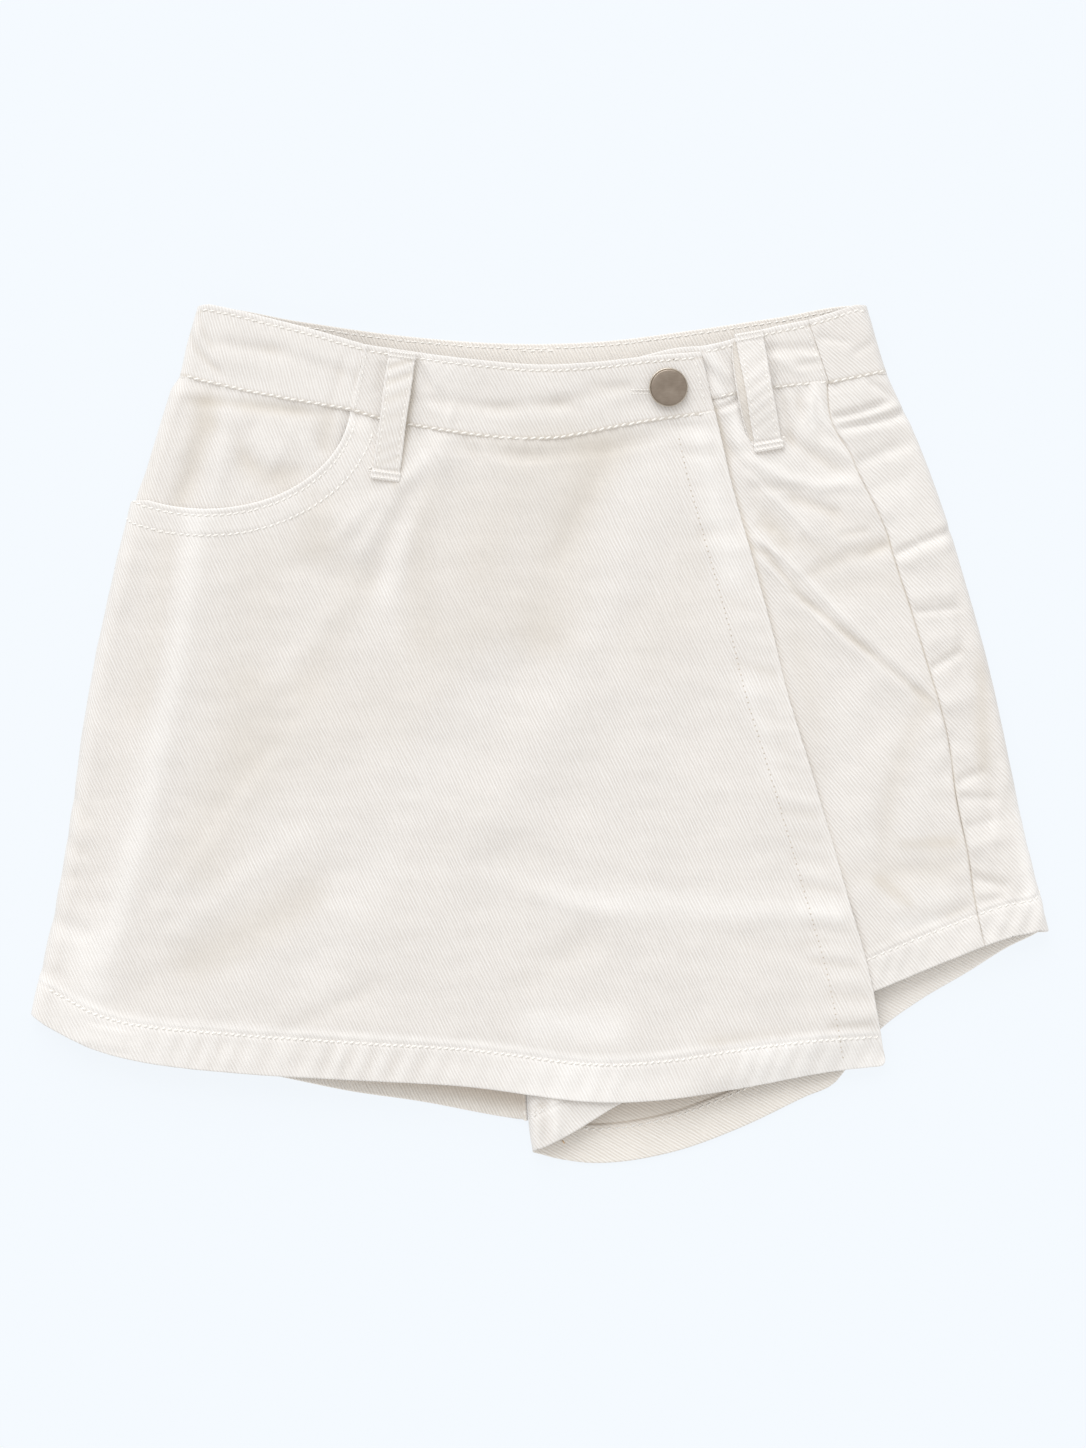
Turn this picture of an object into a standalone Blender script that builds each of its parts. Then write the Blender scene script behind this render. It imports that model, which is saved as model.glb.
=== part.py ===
"""Child's cotton twill wrap skort, laid flat on its back and buttoned.

Shorts with a skirt-like wrap panel over the front. The garment is a flattened tube: its back lies on the
ground, its front lies over a shallow hollow, and the cloth turns over from one to the other along a rounded
fold at each side. Every piece is a wall of cloth, placed by its outer face and thickened inwards.

+X is the wearer's left, +Y the waist, +Z up, and the ground is z = 0. Left and right are the wearer's.
The tables are in millimetres and MM turns them into metres.
"""

import math
from collections import namedtuple

import bmesh
import bpy

MM = 0.001

# Driving dimensions.
CLOTH = 1.2
BAND_CLOTH = 2.0
GAP = 0.3
SEAM = 0.5
LEG_GAP = 0.9
LAYER = CLOTH + GAP
SCOOP_TUCK = 16.0
FOLD_STEP = 15.0
ROWS = 14
CROWN = 0.9
CROTCH_Y = -62.0
CROTCH_BLEND = 34.0
CUFF_STEP = 5.0
HIP_END_X = -66.0
BUTTON_X = 51.6
BUTTON_Y = 137.6
BUTTON_DIAMETER = 15.4
BUTTON_HEIGHT = 2.6
SHANK_DIAMETER = 4.4
SHANK_CLEARANCE = 0.5
SLIT_LENGTH = 14.6
SLIT_WIDTH = 1.0
CUTTER_HEIGHT = 20.0
LOOP_WIDTH = 11.2
LOOP_CLEARANCE = 0.4

# Where each layer ends as it comes round the right side fold, in degrees above the fold's middle.
FRONT_SEAM_ANGLE = 6.0
BACK_SEAM_ANGLE = -7.0
HIP_END_ANGLE = -15.0
PANEL_END_ANGLE = -30.0

# How far each layer's outer face lies outside the shorts' own outer face.
HIP_LIFT = LAYER + 0.2
PANEL_LIFT = 2.0 * LAYER + 0.3
PANEL_LIFT_AT_FREE_EDGE = LAYER + 0.4
BAND_WRAP_LIFT = BAND_CLOTH + GAP

# Sections of the flattened tube: the place of its two side folds and its height, from the waist down.
Section = namedtuple("Section", "y right left height")
SECTIONS = (
    Section(172.0, -136.4, 131.0, 9.4),
    Section(156.0, -141.0, 135.6, 9.4),
    Section(143.0, -144.0, 139.8, 9.2),
    Section(120.0, -151.2, 150.4, 8.8),
    Section(92.0, -160.2, 161.2, 8.6),
    Section(60.0, -168.0, 171.0, 8.6),
    Section(28.0, -175.0, 180.0, 8.6),
    Section(-4.0, -180.4, 187.0, 8.6),
    Section(-36.0, -184.6, 193.6, 8.4),
    Section(-76.0, -192.0, 203.4, 8.0),
    Section(-114.0, -200.6, 212.0, 7.6),
    Section(-176.0, -214.0, 226.0, 7.4),
)

# Edges that run across the garment: a row for each point.
Across = namedtuple("Across", "x y")
BACK_BAND_TOP = (
    Across(-137.0, 172.0),
    Across(-95.6, 165.0),
    Across(-55.6, 159.4),
    Across(-12.0, 156.2),
    Across(24.0, 157.0),
    Across(64.4, 162.0),
    Across(96.4, 166.8),
    Across(131.0, 172.2),
)
BAND_TOP_RIGHT = (
    Across(-136.4, 171.8),
    Across(-110.0, 164.8),
    Across(-69.2, 153.8),
)
BAND_TOP_LEFT = (
    Across(107.6, 165.0),
    Across(119.0, 168.6),
    Across(131.0, 172.2),
)
WRAP_BAND_TOP = (
    Across(-69.2, 153.8),
    Across(-50.8, 152.0),
    Across(-24.0, 148.8),
    Across(0.4, 147.0),
    Across(22.0, 148.2),
    Across(40.4, 150.0),
    Across(64.4, 152.2),
)
UNDER_BAND_TOP = (
    Across(-69.2, 153.2),
    Across(-24.0, 148.2),
    Across(0.4, 146.4),
    Across(36.0, 149.4),
    Across(54.0, 153.6),
    Across(69.2, 155.2),
    Across(90.4, 161.4),
    Across(107.6, 165.0),
)
BACK_BAND_SEAM = (
    Across(-144.0, 142.2),
    Across(-95.6, 137.0),
    Across(-55.6, 131.2),
    Across(-12.0, 128.0),
    Across(24.0, 128.8),
    Across(64.4, 133.8),
    Across(96.4, 138.6),
    Across(140.0, 143.8),
)
BAND_SEAM_RIGHT = (
    Across(-143.8, 142.6),
    Across(-124.4, 137.6),
    Across(-106.4, 133.8),
    Across(-74.6, 128.2),
)
BAND_SEAM_LEFT = (
    Across(116.2, 139.2),
    Across(127.0, 141.4),
    Across(139.8, 144.2),
)
WRAP_BAND_SEAM = (
    Across(-74.6, 128.2),
    Across(-64.8, 125.4),
    Across(-35.2, 120.2),
    Across(-9.2, 117.4),
    Across(8.4, 118.0),
    Across(32.4, 122.8),
    Across(48.4, 125.2),
    Across(70.4, 127.2),
)
UNDER_BAND_SEAM = (
    Across(-74.6, 128.6),
    Across(-36.0, 122.0),
    Across(-9.0, 119.4),
    Across(32.0, 125.6),
    Across(70.0, 133.2),
    Across(96.8, 137.6),
    Across(116.2, 139.4),
)
WRAP_HEM = (
    Across(-203.8, -113.4),
    Across(-191.6, -120.2),
    Across(-179.6, -126.0),
    Across(-160.0, -131.4),
    Across(-119.6, -136.2),
    Across(-80.0, -138.6),
    Across(-30.4, -141.4),
    Across(22.8, -147.8),
    Across(49.2, -147.0),
    Across(80.4, -142.6),
    Across(116.0, -136.2),
    Across(139.4, -133.6),
)
RIGHT_BACK_HEM = (
    Across(-200.0, -105.0),
    Across(-180.0, -120.6),
    Across(-150.0, -130.4),
    Across(-110.8, -137.0),
    Across(-75.2, -144.2),
    Across(-47.6, -148.2),
    Across(-15.6, -154.2),
    Across(-2.0, -156.2),
)
LEFT_FRONT_HEM = (
    Across(-2.0, -167.8),
    Across(10.0, -162.2),
    Across(32.8, -148.4),
    Across(80.0, -125.0),
    Across(132.8, -104.2),
    Across(161.6, -92.2),
    Across(188.0, -82.2),
    Across(204.0, -78.4),
)
LEFT_BACK_HEM = (
    Across(-2.0, -168.6),
    Across(6.4, -171.0),
    Across(24.4, -173.0),
    Across(53.6, -168.6),
    Across(80.4, -159.0),
    Across(106.8, -146.4),
    Across(119.0, -140.6),
    Across(125.0, -133.0),
    Across(136.8, -119.6),
    Across(153.0, -107.6),
    Across(172.0, -96.4),
    Across(188.0, -86.4),
    Across(204.0, -78.8),
)

# Edges that run down the garment: a row for each point.
Down = namedtuple("Down", "y x")
JOIN_RIGHT = (Down(172.0, -65.0), Down(153.8, -69.2), Down(128.2, -74.6), Down(110.0, -78.4))
JOIN_LEFT = (Down(172.0, 105.2), Down(165.0, 107.6), Down(139.2, 116.2), Down(120.0, 122.6))
WRAP_BAND_END = (Down(156.0, 63.6), Down(144.2, 66.6), Down(134.0, 68.8), Down(120.0, 72.4))
FREE_EDGE = (
    Down(134.0, 68.6),
    Down(126.0, 70.8),
    Down(100.2, 76.8),
    Down(68.6, 85.6),
    Down(39.4, 93.6),
    Down(15.8, 99.4),
    Down(-15.8, 109.0),
    Down(-43.4, 117.2),
    Down(-71.0, 125.0),
    Down(-94.2, 131.6),
    Down(-134.0, 139.4),
)
SIDE_SEAM = (
    Down(142.0, 115.2),
    Down(134.6, 116.0),
    Down(121.0, 119.6),
    Down(109.8, 126.0),
    Down(98.2, 131.8),
    Down(85.8, 138.2),
    Down(51.0, 150.4),
    Down(25.4, 157.0),
    Down(-19.8, 167.2),
    Down(-67.0, 175.6),
    Down(-90.0, 180.6),
)
INSEAM = (
    Down(130.0, -1.6),
    Down(-62.0, -1.6),
    Down(-110.0, -3.2),
    Down(-145.0, -5.2),
    Down(-160.0, -4.2),
    Down(-175.0, -1.8),
)

# Scoop of the pocket's mouth: part of an ellipse below the waistband.
SCOOP_X = -133.0
SCOOP_Y = 131.0
SCOOP_WIDE = 57.5
SCOOP_DEEP = 41.6
MOUTH_END_X = -76.0

# Largest creases, shared by all the front layers: soft ridges, or troughs where the height is negative.
Crease = namedtuple("Crease", "x0 y0 x1 y1 height width")
CREASES = (
    Crease(-38.0, 110.0, -53.0, 78.0, 0.7, 9.0),
    Crease(-14.0, 46.0, -112.0, -80.0, 0.9, 13.0),
    Crease(42.0, 44.0, -94.0, -112.0, 0.8, 15.0),
    Crease(-136.0, 80.0, -172.0, -100.0, 0.8, 10.0),
    Crease(-70.0, 60.0, -132.0, -30.0, -0.5, 12.0),
    Crease(90.0, 73.0, 128.0, 38.0, 0.9, 9.0),
    Crease(126.0, 40.0, 160.0, 14.0, 0.8, 9.0),
    Crease(159.0, 13.0, 143.0, -12.0, 0.6, 9.0),
    Crease(86.0, 104.0, 106.0, 82.0, 0.7, 9.0),
    Crease(-129.0, 118.0, -139.0, 100.0, -0.5, 8.0),
    Crease(118.0, 128.0, 140.0, 134.0, 0.4, 8.0),
    Crease(-96.0, -112.0, 60.0, -126.0, 0.5, 9.0),
)
CREASE_FADE = 16.0
SIDE_FADE = 14.0

# The wrap panel comes down to the shorts across its middle, and its corner drops past the left leg's front.
EASE_START = -60.0
EASE_LENGTH = 60.0
CORNER_DROP = 5.4
CORNER_START = 7.0
CORNER_REACH = 24.0
CORNER_FROM_X = 36.0
CORNER_FADE = 30.0

Finish = namedtuple("Finish", "color roughness metallic")
TWILL = Finish((0.83, 0.79, 0.74, 1.0), 0.9, 0.0)
BUTTON_METAL = Finish((0.30, 0.25, 0.21, 1.0), 0.4, 1.0)


def mix(a, b, share):
    """Value a part of the way from a to b."""
    return a + (b - a) * share


def smooth(value):
    """Smooth step from 0 to 1."""
    t = min(1.0, max(0.0, value))
    return t * t * (3.0 - 2.0 * t)


def shares(count):
    """Even shares from 0 to 1, both ends included."""
    return [k / count for k in range(count + 1)]


def curve(rows):
    """Smooth function through (key, value) rows, straight past both ends."""
    keys, values = zip(*sorted(tuple(row) for row in rows))
    last = len(keys) - 1
    runs = [(values[k + 1] - values[k]) / (keys[k + 1] - keys[k]) for k in range(last)]
    between = [0.5 * (runs[k - 1] + runs[k]) for k in range(1, last)]
    slopes = [runs[0]] + between + [runs[-1]]

    def value_at(key):
        if key <= keys[0]:
            return values[0] + slopes[0] * (key - keys[0])
        if key >= keys[-1]:
            return values[-1] + slopes[-1] * (key - keys[-1])
        k = max(n for n in range(last) if keys[n] <= key)
        span = keys[k + 1] - keys[k]
        t = (key - keys[k]) / span
        bend_in = slopes[k] * span * t * (1.0 - t) ** 2
        bend_out = -slopes[k + 1] * span * t * t * (1.0 - t)
        return mix(values[k], values[k + 1], t * t * (3.0 - 2.0 * t)) + bend_in + bend_out

    return value_at


right_fold = curve([(row.y, row.right) for row in SECTIONS])
left_fold = curve([(row.y, row.left) for row in SECTIONS])
height_at = curve([(row.y, row.height) for row in SECTIONS])
inseam_at = curve(INSEAM)
left_front_hem = curve(LEFT_FRONT_HEM)


def radius_at(y):
    """Radius of the side folds."""
    return 0.5 * height_at(y)


def right_turn(y):
    """X where the front and the back start to turn over at the wearer's right."""
    return right_fold(y) + radius_at(y)


def left_turn(y):
    """X where the front and the back start to turn over at the wearer's left."""
    return left_fold(y) - radius_at(y)


def crease_height(crease, x, y):
    """Height that one crease adds at a place."""
    run_x = crease.x1 - crease.x0
    run_y = crease.y1 - crease.y0
    length = math.hypot(run_x, run_y)
    along = ((x - crease.x0) * run_x + (y - crease.y0) * run_y) / length
    aside = ((x - crease.x0) * run_y - (y - crease.y0) * run_x) / length
    ends = smooth(1.0 + along / CREASE_FADE) * smooth(1.0 + (length - along) / CREASE_FADE)
    return crease.height * ends * math.exp(-((aside / crease.width) ** 2))


def front_z(x, y):
    """Height of the shorts' front outer face, with its crown and creases."""
    inside = smooth((x - right_turn(y)) / SIDE_FADE) * smooth((left_turn(y) - x) / SIDE_FADE)
    creases = sum(crease_height(crease, x, y) for crease in CREASES)
    return height_at(y) + inside * (CROWN + creases)


def corner(across, down, y):
    """Point where an edge that runs across meets an edge that runs down."""
    for _ in range(24):
        x = down(y)
        y = across(x)
    return x, y


def patch(top, bottom, right, left, columns, rows):
    """Rows of (x, y) between four edges, blended as a Coons patch. The rows run from the top edge down."""
    top_right = corner(top, right, top(right(0.0)))
    top_left = corner(top, left, top(left(0.0)))
    low_right = corner(bottom, right, bottom(right(0.0)))
    low_left = corner(bottom, left, bottom(left(0.0)))
    grid = []
    for v in rows:
        right_y = mix(top_right[1], low_right[1], v)
        left_y = mix(top_left[1], low_left[1], v)
        row = []
        for u in columns:
            top_x = mix(top_right[0], top_left[0], u)
            low_x = mix(low_right[0], low_left[0], u)
            ends = (
                mix(mix(top_right[0], top_left[0], u), mix(low_right[0], low_left[0], u), v),
                mix(mix(top_right[1], top_left[1], u), mix(low_right[1], low_left[1], u), v),
            )
            x = mix(top_x, low_x, v) + mix(right(right_y), left(left_y), u) - ends[0]
            y = mix(top(top_x), bottom(low_x), v) + mix(right_y, left_y, u) - ends[1]
            row.append((x, y))
        grid.append(row)
    return grid


def raised(grid, lift):
    """Front-layer points over (x, y) rows: lift is a function of x and y."""
    return [[(x, y, front_z(x, y) + lift(x, y)) for x, y in row] for row in grid]


def grounded(grid):
    """Back-layer points over (x, y) rows, on the ground."""
    return [[(x, y, 0.0) for x, y in row] for row in grid]


def fold_arc(side, front_y, back_y, lift, angles):
    """Points round a side fold. 90 degrees is the front, -90 the back. Side is -1 at the wearer's right."""
    points = []
    for angle in angles:
        y = mix(back_y, front_y, 0.5 + angle / 180.0)
        radius = radius_at(y)
        centre = right_turn(y) if side < 0 else left_turn(y)
        reach = radius + lift
        across = reach * math.cos(math.radians(angle))
        points.append((centre + side * across, y, radius + reach * math.sin(math.radians(angle))))
    return points


def arc_angles(start, end):
    """Angles after start, up to and including end, about FOLD_STEP apart."""
    count = max(1, round(abs(end - start) / FOLD_STEP))
    return [mix(start, end, share) for share in shares(count)[1:]]


def legs_apart(y):
    """Share of the way from one torso, 0, to two separate legs, 1."""
    return smooth((CROTCH_Y - y) / CROTCH_BLEND)


def inner_turn(side):
    """X where a leg panel starts to turn in at the inseam, as a function of y."""

    def turn_x(y):
        radius = radius_at(y)
        return inseam_at(y) + side * mix(0.5 * math.pi * radius, radius + 0.5 * LEG_GAP, legs_apart(y))

    return turn_x


def inseam_strip(side, start, beside, front, steps=4):
    """Points from a panel's inner turn to the centre line: flat in the torso, turned in to meet in a leg.

    start is the row's last point before the strip, and beside, the one before it, gives the row's slope.
    """
    turn_x, y = start
    slope = (y - beside[1]) / (turn_x - beside[0])
    radius = radius_at(y)
    quarter = 0.5 * math.pi * radius
    apart = legs_apart(y)
    points = []
    for share in shares(steps)[1:]:
        run = mix(quarter, mix(0.5 * GAP, SEAM, apart), share)
        angle = run / radius
        run_in_leg = radius * (1.0 - math.cos(angle)) + 0.5 * LEG_GAP
        x = inseam_at(y) + side * mix(run, run_in_leg, apart)
        rise = mix(1.0, math.sin(angle), apart)
        z = radius + (front_z(x, y) - radius) * rise if front else radius * (1.0 - rise)
        points.append((x, y + slope * (x - turn_x), z))
    return points


def principled(name, finish):
    """Material with one Principled shader."""
    material = bpy.data.materials.new(name)
    material.use_nodes = True
    shader = material.node_tree.nodes["Principled BSDF"]
    shader.inputs["Base Color"].default_value = finish.color
    shader.inputs["Roughness"].default_value = finish.roughness
    shader.inputs["Metallic"].default_value = finish.metallic
    return material


def sheet(name, grid, thickness, faces_up, collection):
    """Cloth wall: a grid primitive moved to the rows of points, its outer face out, thickened inwards."""
    across = len(grid[0])
    bm = bmesh.new()
    bmesh.ops.create_grid(bm, x_segments=across - 1, y_segments=len(grid) - 1, size=1.0)
    in_order = sorted(bm.verts, key=lambda vert: (round(vert.co.y, 5), round(vert.co.x, 5)))
    for index, vert in enumerate(in_order):
        x, y, z = grid[index // across][index % across]
        vert.co = (x * MM, y * MM, z * MM)
    bm.normal_update()
    upward = sum(face.normal.z * face.calc_area() for face in bm.faces)
    if (upward > 0.0) != faces_up:
        bmesh.ops.reverse_faces(bm, faces=bm.faces)
    mesh = bpy.data.meshes.new(name)
    bm.to_mesh(mesh)
    bm.free()
    mesh.shade_smooth()
    mesh.materials.append(principled(name, TWILL))
    piece = bpy.data.objects.new(name, mesh)
    collection.objects.link(piece)
    solidify = piece.modifiers.new("cloth", "SOLIDIFY")
    solidify.thickness = thickness * MM
    solidify.offset = -1.0
    solidify.use_even_offset = True
    return piece


def back_panel(side, collection):
    """Back of one leg, on the ground. The left one goes on over the fold to the side seam."""
    seam = curve(BACK_BAND_SEAM)
    hem = curve(RIGHT_BACK_HEM if side < 0 else LEFT_BACK_HEM)
    edges = (right_turn, inner_turn(side)) if side < 0 else (inner_turn(side), left_turn)
    flat = patch(lambda x: seam(x) - SEAM, hem, *edges, shares(9), shares(ROWS))
    if side < 0:
        turn = arc_angles(-90.0, BACK_SEAM_ANGLE)
        rows = []
        for row in flat:
            y = row[0][1]
            arc = fold_arc(side, y, y, 0.0, turn)
            rows.append(arc[::-1] + grounded([row])[0] + inseam_strip(side, row[-1], row[-2], False))
        return sheet("back_right", rows, CLOTH, False, collection)
    side_seam = curve(SIDE_SEAM)
    front_seam = curve(BAND_SEAM_LEFT)
    strip = patch(
        lambda x: front_seam(x) - SEAM,
        curve(LEFT_FRONT_HEM),
        lambda y: side_seam(y) + 0.5 * GAP,
        left_turn,
        shares(3),
        shares(ROWS),
    )
    rows = []
    for row, over in zip(flat, strip):
        arc = fold_arc(side, over[-1][1], row[-1][1], 0.0, arc_angles(-90.0, 90.0))
        front = raised([over[::-1]], lambda x, y: 0.0)[0]
        inner = inseam_strip(side, row[0], row[1], False)[::-1]
        rows.append(inner + grounded([row])[0] + arc + front[1:])
    return sheet("back_left", rows, CLOTH, False, collection)


def front_left(collection):
    """Front of the left leg, from the side seam to the centre line under the wrap panel."""
    seam = curve(UNDER_BAND_SEAM)
    side_seam = curve(SIDE_SEAM)
    flat = patch(
        lambda x: seam(x) - SEAM,
        left_front_hem,
        inner_turn(1),
        lambda y: side_seam(y) - 0.5 * GAP,
        shares(13),
        shares(ROWS),
    )
    rows = []
    for row in flat:
        inner = inseam_strip(1, row[0], row[1], True)[::-1]
        rows.append(inner + raised([row], lambda x, y: 0.0)[0])
    return sheet("front_left", rows, CLOTH, True, collection)


def front_right(collection):
    """Front of the right leg, under the hip piece and the wrap panel."""
    seam = curve(BAND_SEAM_RIGHT[:-1] + UNDER_BAND_SEAM[:4])
    hem = curve(RIGHT_BACK_HEM)
    flat = patch(
        lambda x: seam(x) - SEAM,
        lambda x: hem(x) + CUFF_STEP,
        right_turn,
        inner_turn(-1),
        shares(10),
        shares(ROWS),
    )
    turn = arc_angles(90.0, FRONT_SEAM_ANGLE)
    rows = []
    for row in flat:
        y = row[0][1]
        arc = fold_arc(-1, y, y, 0.0, turn)
        inner = inseam_strip(-1, row[-1], row[-2], True)
        rows.append(arc[::-1] + raised([row], lambda x, y: 0.0)[0] + inner)
    return sheet("front_right", rows, CLOTH, True, collection)


def scoop_y(x, tuck=0.0):
    """Lower edge of the pocket's mouth, or a line parallel to it and lower by tuck."""
    reach = (x - SCOOP_X) / (SCOOP_WIDE + tuck)
    return SCOOP_Y - (SCOOP_DEEP + tuck) * math.sqrt(max(0.0, 1.0 - reach * reach))


def hip_piece(collection):
    """Pocket's back, from the waistband to a little below the mouth of the pocket."""
    seam = curve(BAND_SEAM_RIGHT[:-1] + WRAP_BAND_SEAM[1:3])
    flat = patch(
        lambda x: seam(x) - SEAM,
        lambda x: scoop_y(x, SCOOP_TUCK),
        right_turn,
        lambda y: HIP_END_X,
        shares(7),
        shares(6),
    )
    turn = arc_angles(90.0, HIP_END_ANGLE)
    rows = []
    for row in flat:
        y = row[0][1]
        arc = fold_arc(-1, y, y, HIP_LIFT, turn)
        rows.append(arc[::-1] + raised([row], lambda x, y: HIP_LIFT)[0])
    return sheet("hip_piece", rows, CLOTH, True, collection)


def panel_lift(x, y):
    """Lift of the wrap panel: lower towards its free edge, and dropping past the front of the left leg."""
    lift = mix(PANEL_LIFT, PANEL_LIFT_AT_FREE_EDGE, smooth((x - EASE_START) / EASE_LENGTH))
    past_hem = smooth((left_front_hem(x) - CORNER_START - y) / CORNER_REACH)
    return lift - CORNER_DROP * past_hem * smooth((x - CORNER_FROM_X) / CORNER_FADE)


def wrap_panel(collection):
    """Skirt-like overlay, from the right side fold to its free edge on the left leg."""
    seam = curve(WRAP_BAND_SEAM)
    free_edge = curve(FREE_EDGE)

    def top(x):
        return min(seam(x) - SEAM, scoop_y(x))

    top_x = corner(top, right_turn, scoop_y(SCOOP_X))[0]
    edge_x = corner(top, free_edge, seam(0.0))[0]
    start = math.acos((top_x - SCOOP_X) / SCOOP_WIDE)
    end = math.acos((MOUTH_END_X - SCOOP_X) / SCOOP_WIDE)
    scoop = [SCOOP_X + SCOOP_WIDE * math.cos(mix(start, end, share)) for share in shares(8)]
    past = [mix(MOUTH_END_X, edge_x, share) for share in shares(11)[1:]]
    columns = [(x - top_x) / (edge_x - top_x) for x in scoop + past]
    flat = patch(top, curve(WRAP_HEM), right_turn, free_edge, columns, shares(15))
    turn = arc_angles(90.0, PANEL_END_ANGLE)
    rows = []
    for row in flat:
        y = row[0][1]
        arc = fold_arc(-1, y, y, PANEL_LIFT, turn)
        rows.append(arc[::-1] + raised([row], panel_lift)[0])
    return sheet("wrap_panel", rows, CLOTH, True, collection)


def band_back(collection):
    """Waistband round the back and both sides, up to the joins on the front."""
    back = patch(curve(BACK_BAND_TOP), curve(BACK_BAND_SEAM), right_turn, left_turn, shares(12), shares(3))
    right_join = curve(JOIN_RIGHT)
    left_join = curve(JOIN_LEFT)
    over_right = patch(
        curve(BAND_TOP_RIGHT),
        curve(BAND_SEAM_RIGHT),
        right_turn,
        lambda y: right_join(y) - 0.5 * GAP,
        shares(6),
        shares(3),
    )
    over_left = patch(
        curve(BAND_TOP_LEFT),
        curve(BAND_SEAM_LEFT),
        lambda y: left_join(y) + 0.5 * GAP,
        left_turn,
        shares(3),
        shares(3),
    )

    def lift_right(x, y):
        run = (x - right_turn(y)) / (right_join(y) - right_turn(y))
        return BAND_WRAP_LIFT * smooth(run)

    rows = []
    for row, right_row, left_row in zip(back, over_right, over_left):
        right_front = raised([right_row[::-1]], lift_right)[0]
        right_arc = fold_arc(-1, right_row[0][1], row[0][1], 0.0, arc_angles(90.0, -90.0))
        left_arc = fold_arc(1, left_row[-1][1], row[-1][1], 0.0, arc_angles(-90.0, 90.0))
        left_front = raised([left_row[::-1]], lambda x, y: 0.0)[0]
        ground = grounded([row])[0]
        rows.append(right_front + right_arc + ground[1:] + left_arc + left_front[1:])
    return sheet("band_back", rows, BAND_CLOTH, False, collection)


def band_under(collection):
    """Waistband under the wrap, from join to join."""
    right_join = curve(JOIN_RIGHT)
    left_join = curve(JOIN_LEFT)
    flat = patch(
        curve(UNDER_BAND_TOP),
        curve(UNDER_BAND_SEAM),
        lambda y: right_join(y) + 0.5 * GAP,
        lambda y: left_join(y) - 0.5 * GAP,
        shares(14),
        shares(3),
    )
    return sheet("band_under", raised(flat, lambda x, y: 0.0), BAND_CLOTH, True, collection)


def band_wrap(collection, cutters):
    """Waistband on the wrap panel, with a keyhole buttonhole cut through it."""
    right_join = curve(JOIN_RIGHT)
    flat = patch(
        curve(WRAP_BAND_TOP),
        curve(WRAP_BAND_SEAM),
        lambda y: right_join(y) + 0.5 * GAP,
        curve(WRAP_BAND_END),
        shares(12),
        shares(3),
    )
    piece = sheet("band_wrap", raised(flat, lambda x, y: BAND_WRAP_LIFT), BAND_CLOTH, True, collection)
    slit = slit_cutter("slit_cutter", cutters)
    eyelet = round_cutter("eyelet_cutter", 0.5 * SHANK_DIAMETER + SHANK_CLEARANCE, cutters)
    for cutter in (slit, eyelet):
        cut = piece.modifiers.new(cutter.name, "BOOLEAN")
        cut.operation = "DIFFERENCE"
        cut.solver = "EXACT"
        cut.object = cutter
    return piece


def as_cutter(bm, name, cutters):
    """Object that only cuts: a wire shape over the button's place, tall enough to pass through the band."""
    mesh = bpy.data.meshes.new(name)
    bm.to_mesh(mesh)
    bm.free()
    cutter = bpy.data.objects.new(name, mesh)
    cutter.hide_render = True
    cutter.display_type = "WIRE"
    cutters.objects.link(cutter)
    return cutter


def slit_cutter(name, cutters):
    """Cutter for the buttonhole's slit, which runs from the button towards the wearer's right."""
    bm = bmesh.new()
    bmesh.ops.create_cube(bm, size=1.0)
    for vert in bm.verts:
        x = BUTTON_X + (vert.co.x - 0.5) * SLIT_LENGTH
        y = BUTTON_Y + vert.co.y * SLIT_WIDTH
        vert.co = (x * MM, y * MM, (vert.co.z + 1.0) * CUTTER_HEIGHT * MM)
    return as_cutter(bm, name, cutters)


def round_cutter(name, radius, cutters):
    """Cutter for the eyelet that the button's shank goes through."""
    bm = bmesh.new()
    bmesh.ops.create_cone(bm, cap_ends=True, segments=24, radius1=radius, radius2=radius, depth=1.0)
    for vert in bm.verts:
        x = vert.co.x + BUTTON_X
        y = vert.co.y + BUTTON_Y
        vert.co = (x * MM, y * MM, (vert.co.z + 1.0) * CUTTER_HEIGHT * MM)
    return as_cutter(bm, name, cutters)


def button(collection):
    """Turned metal button: a flat cap over the wrap's band, its shank through the buttonhole."""
    radius = 0.5 * BUTTON_DIAMETER
    shank = 0.5 * SHANK_DIAMETER
    under_face = front_z(BUTTON_X, BUTTON_Y) + GAP
    seats = [
        front_z(BUTTON_X + radius * math.cos(turn), BUTTON_Y + radius * math.sin(turn))
        for turn in (math.tau * share for share in shares(8))
    ]
    seat = max(seats) + BAND_WRAP_LIFT + GAP
    top = seat + BUTTON_HEIGHT
    profile = (
        (0.0, top - 0.1),
        (radius - 1.2, top - 0.1),
        (radius - 0.7, top),
        (radius - 0.3, top - 0.2),
        (radius, top - 0.8),
        (radius - 0.1, seat + 0.6),
        (radius - 0.6, seat),
        (shank, seat),
        (shank, under_face),
        (0.0, under_face),
    )
    mesh = bpy.data.meshes.new("button")
    vertices = [(x * MM, 0.0, z * MM) for x, z in profile]
    edges = [(k, k + 1) for k in range(len(profile) - 1)]
    mesh.from_pydata(vertices, edges, [])
    mesh.materials.append(principled("button", BUTTON_METAL))
    piece = bpy.data.objects.new("button", mesh)
    piece.location = (BUTTON_X * MM, BUTTON_Y * MM, 0.0)
    collection.objects.link(piece)
    screw = piece.modifiers.new("turn", "SCREW")
    screw.steps = 32
    screw.render_steps = 32
    screw.use_merge_vertices = True
    screw.merge_threshold = 0.00001
    screw.use_smooth_shade = True
    return piece


# Belt loops: a strap from its head at the band's top edge to its foot on the panel below.
Loop = namedtuple("Loop", "name head_x head_y foot_x foot_y lift arch")
LOOPS = (
    Loop("loop_right", -54.4, 151.2, -61.4, 101.4, PANEL_LIFT, 1.2),
    Loop("loop_left", 83.6, 159.6, 92.0, 113.2, 0.0, 2.6),
)


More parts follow.
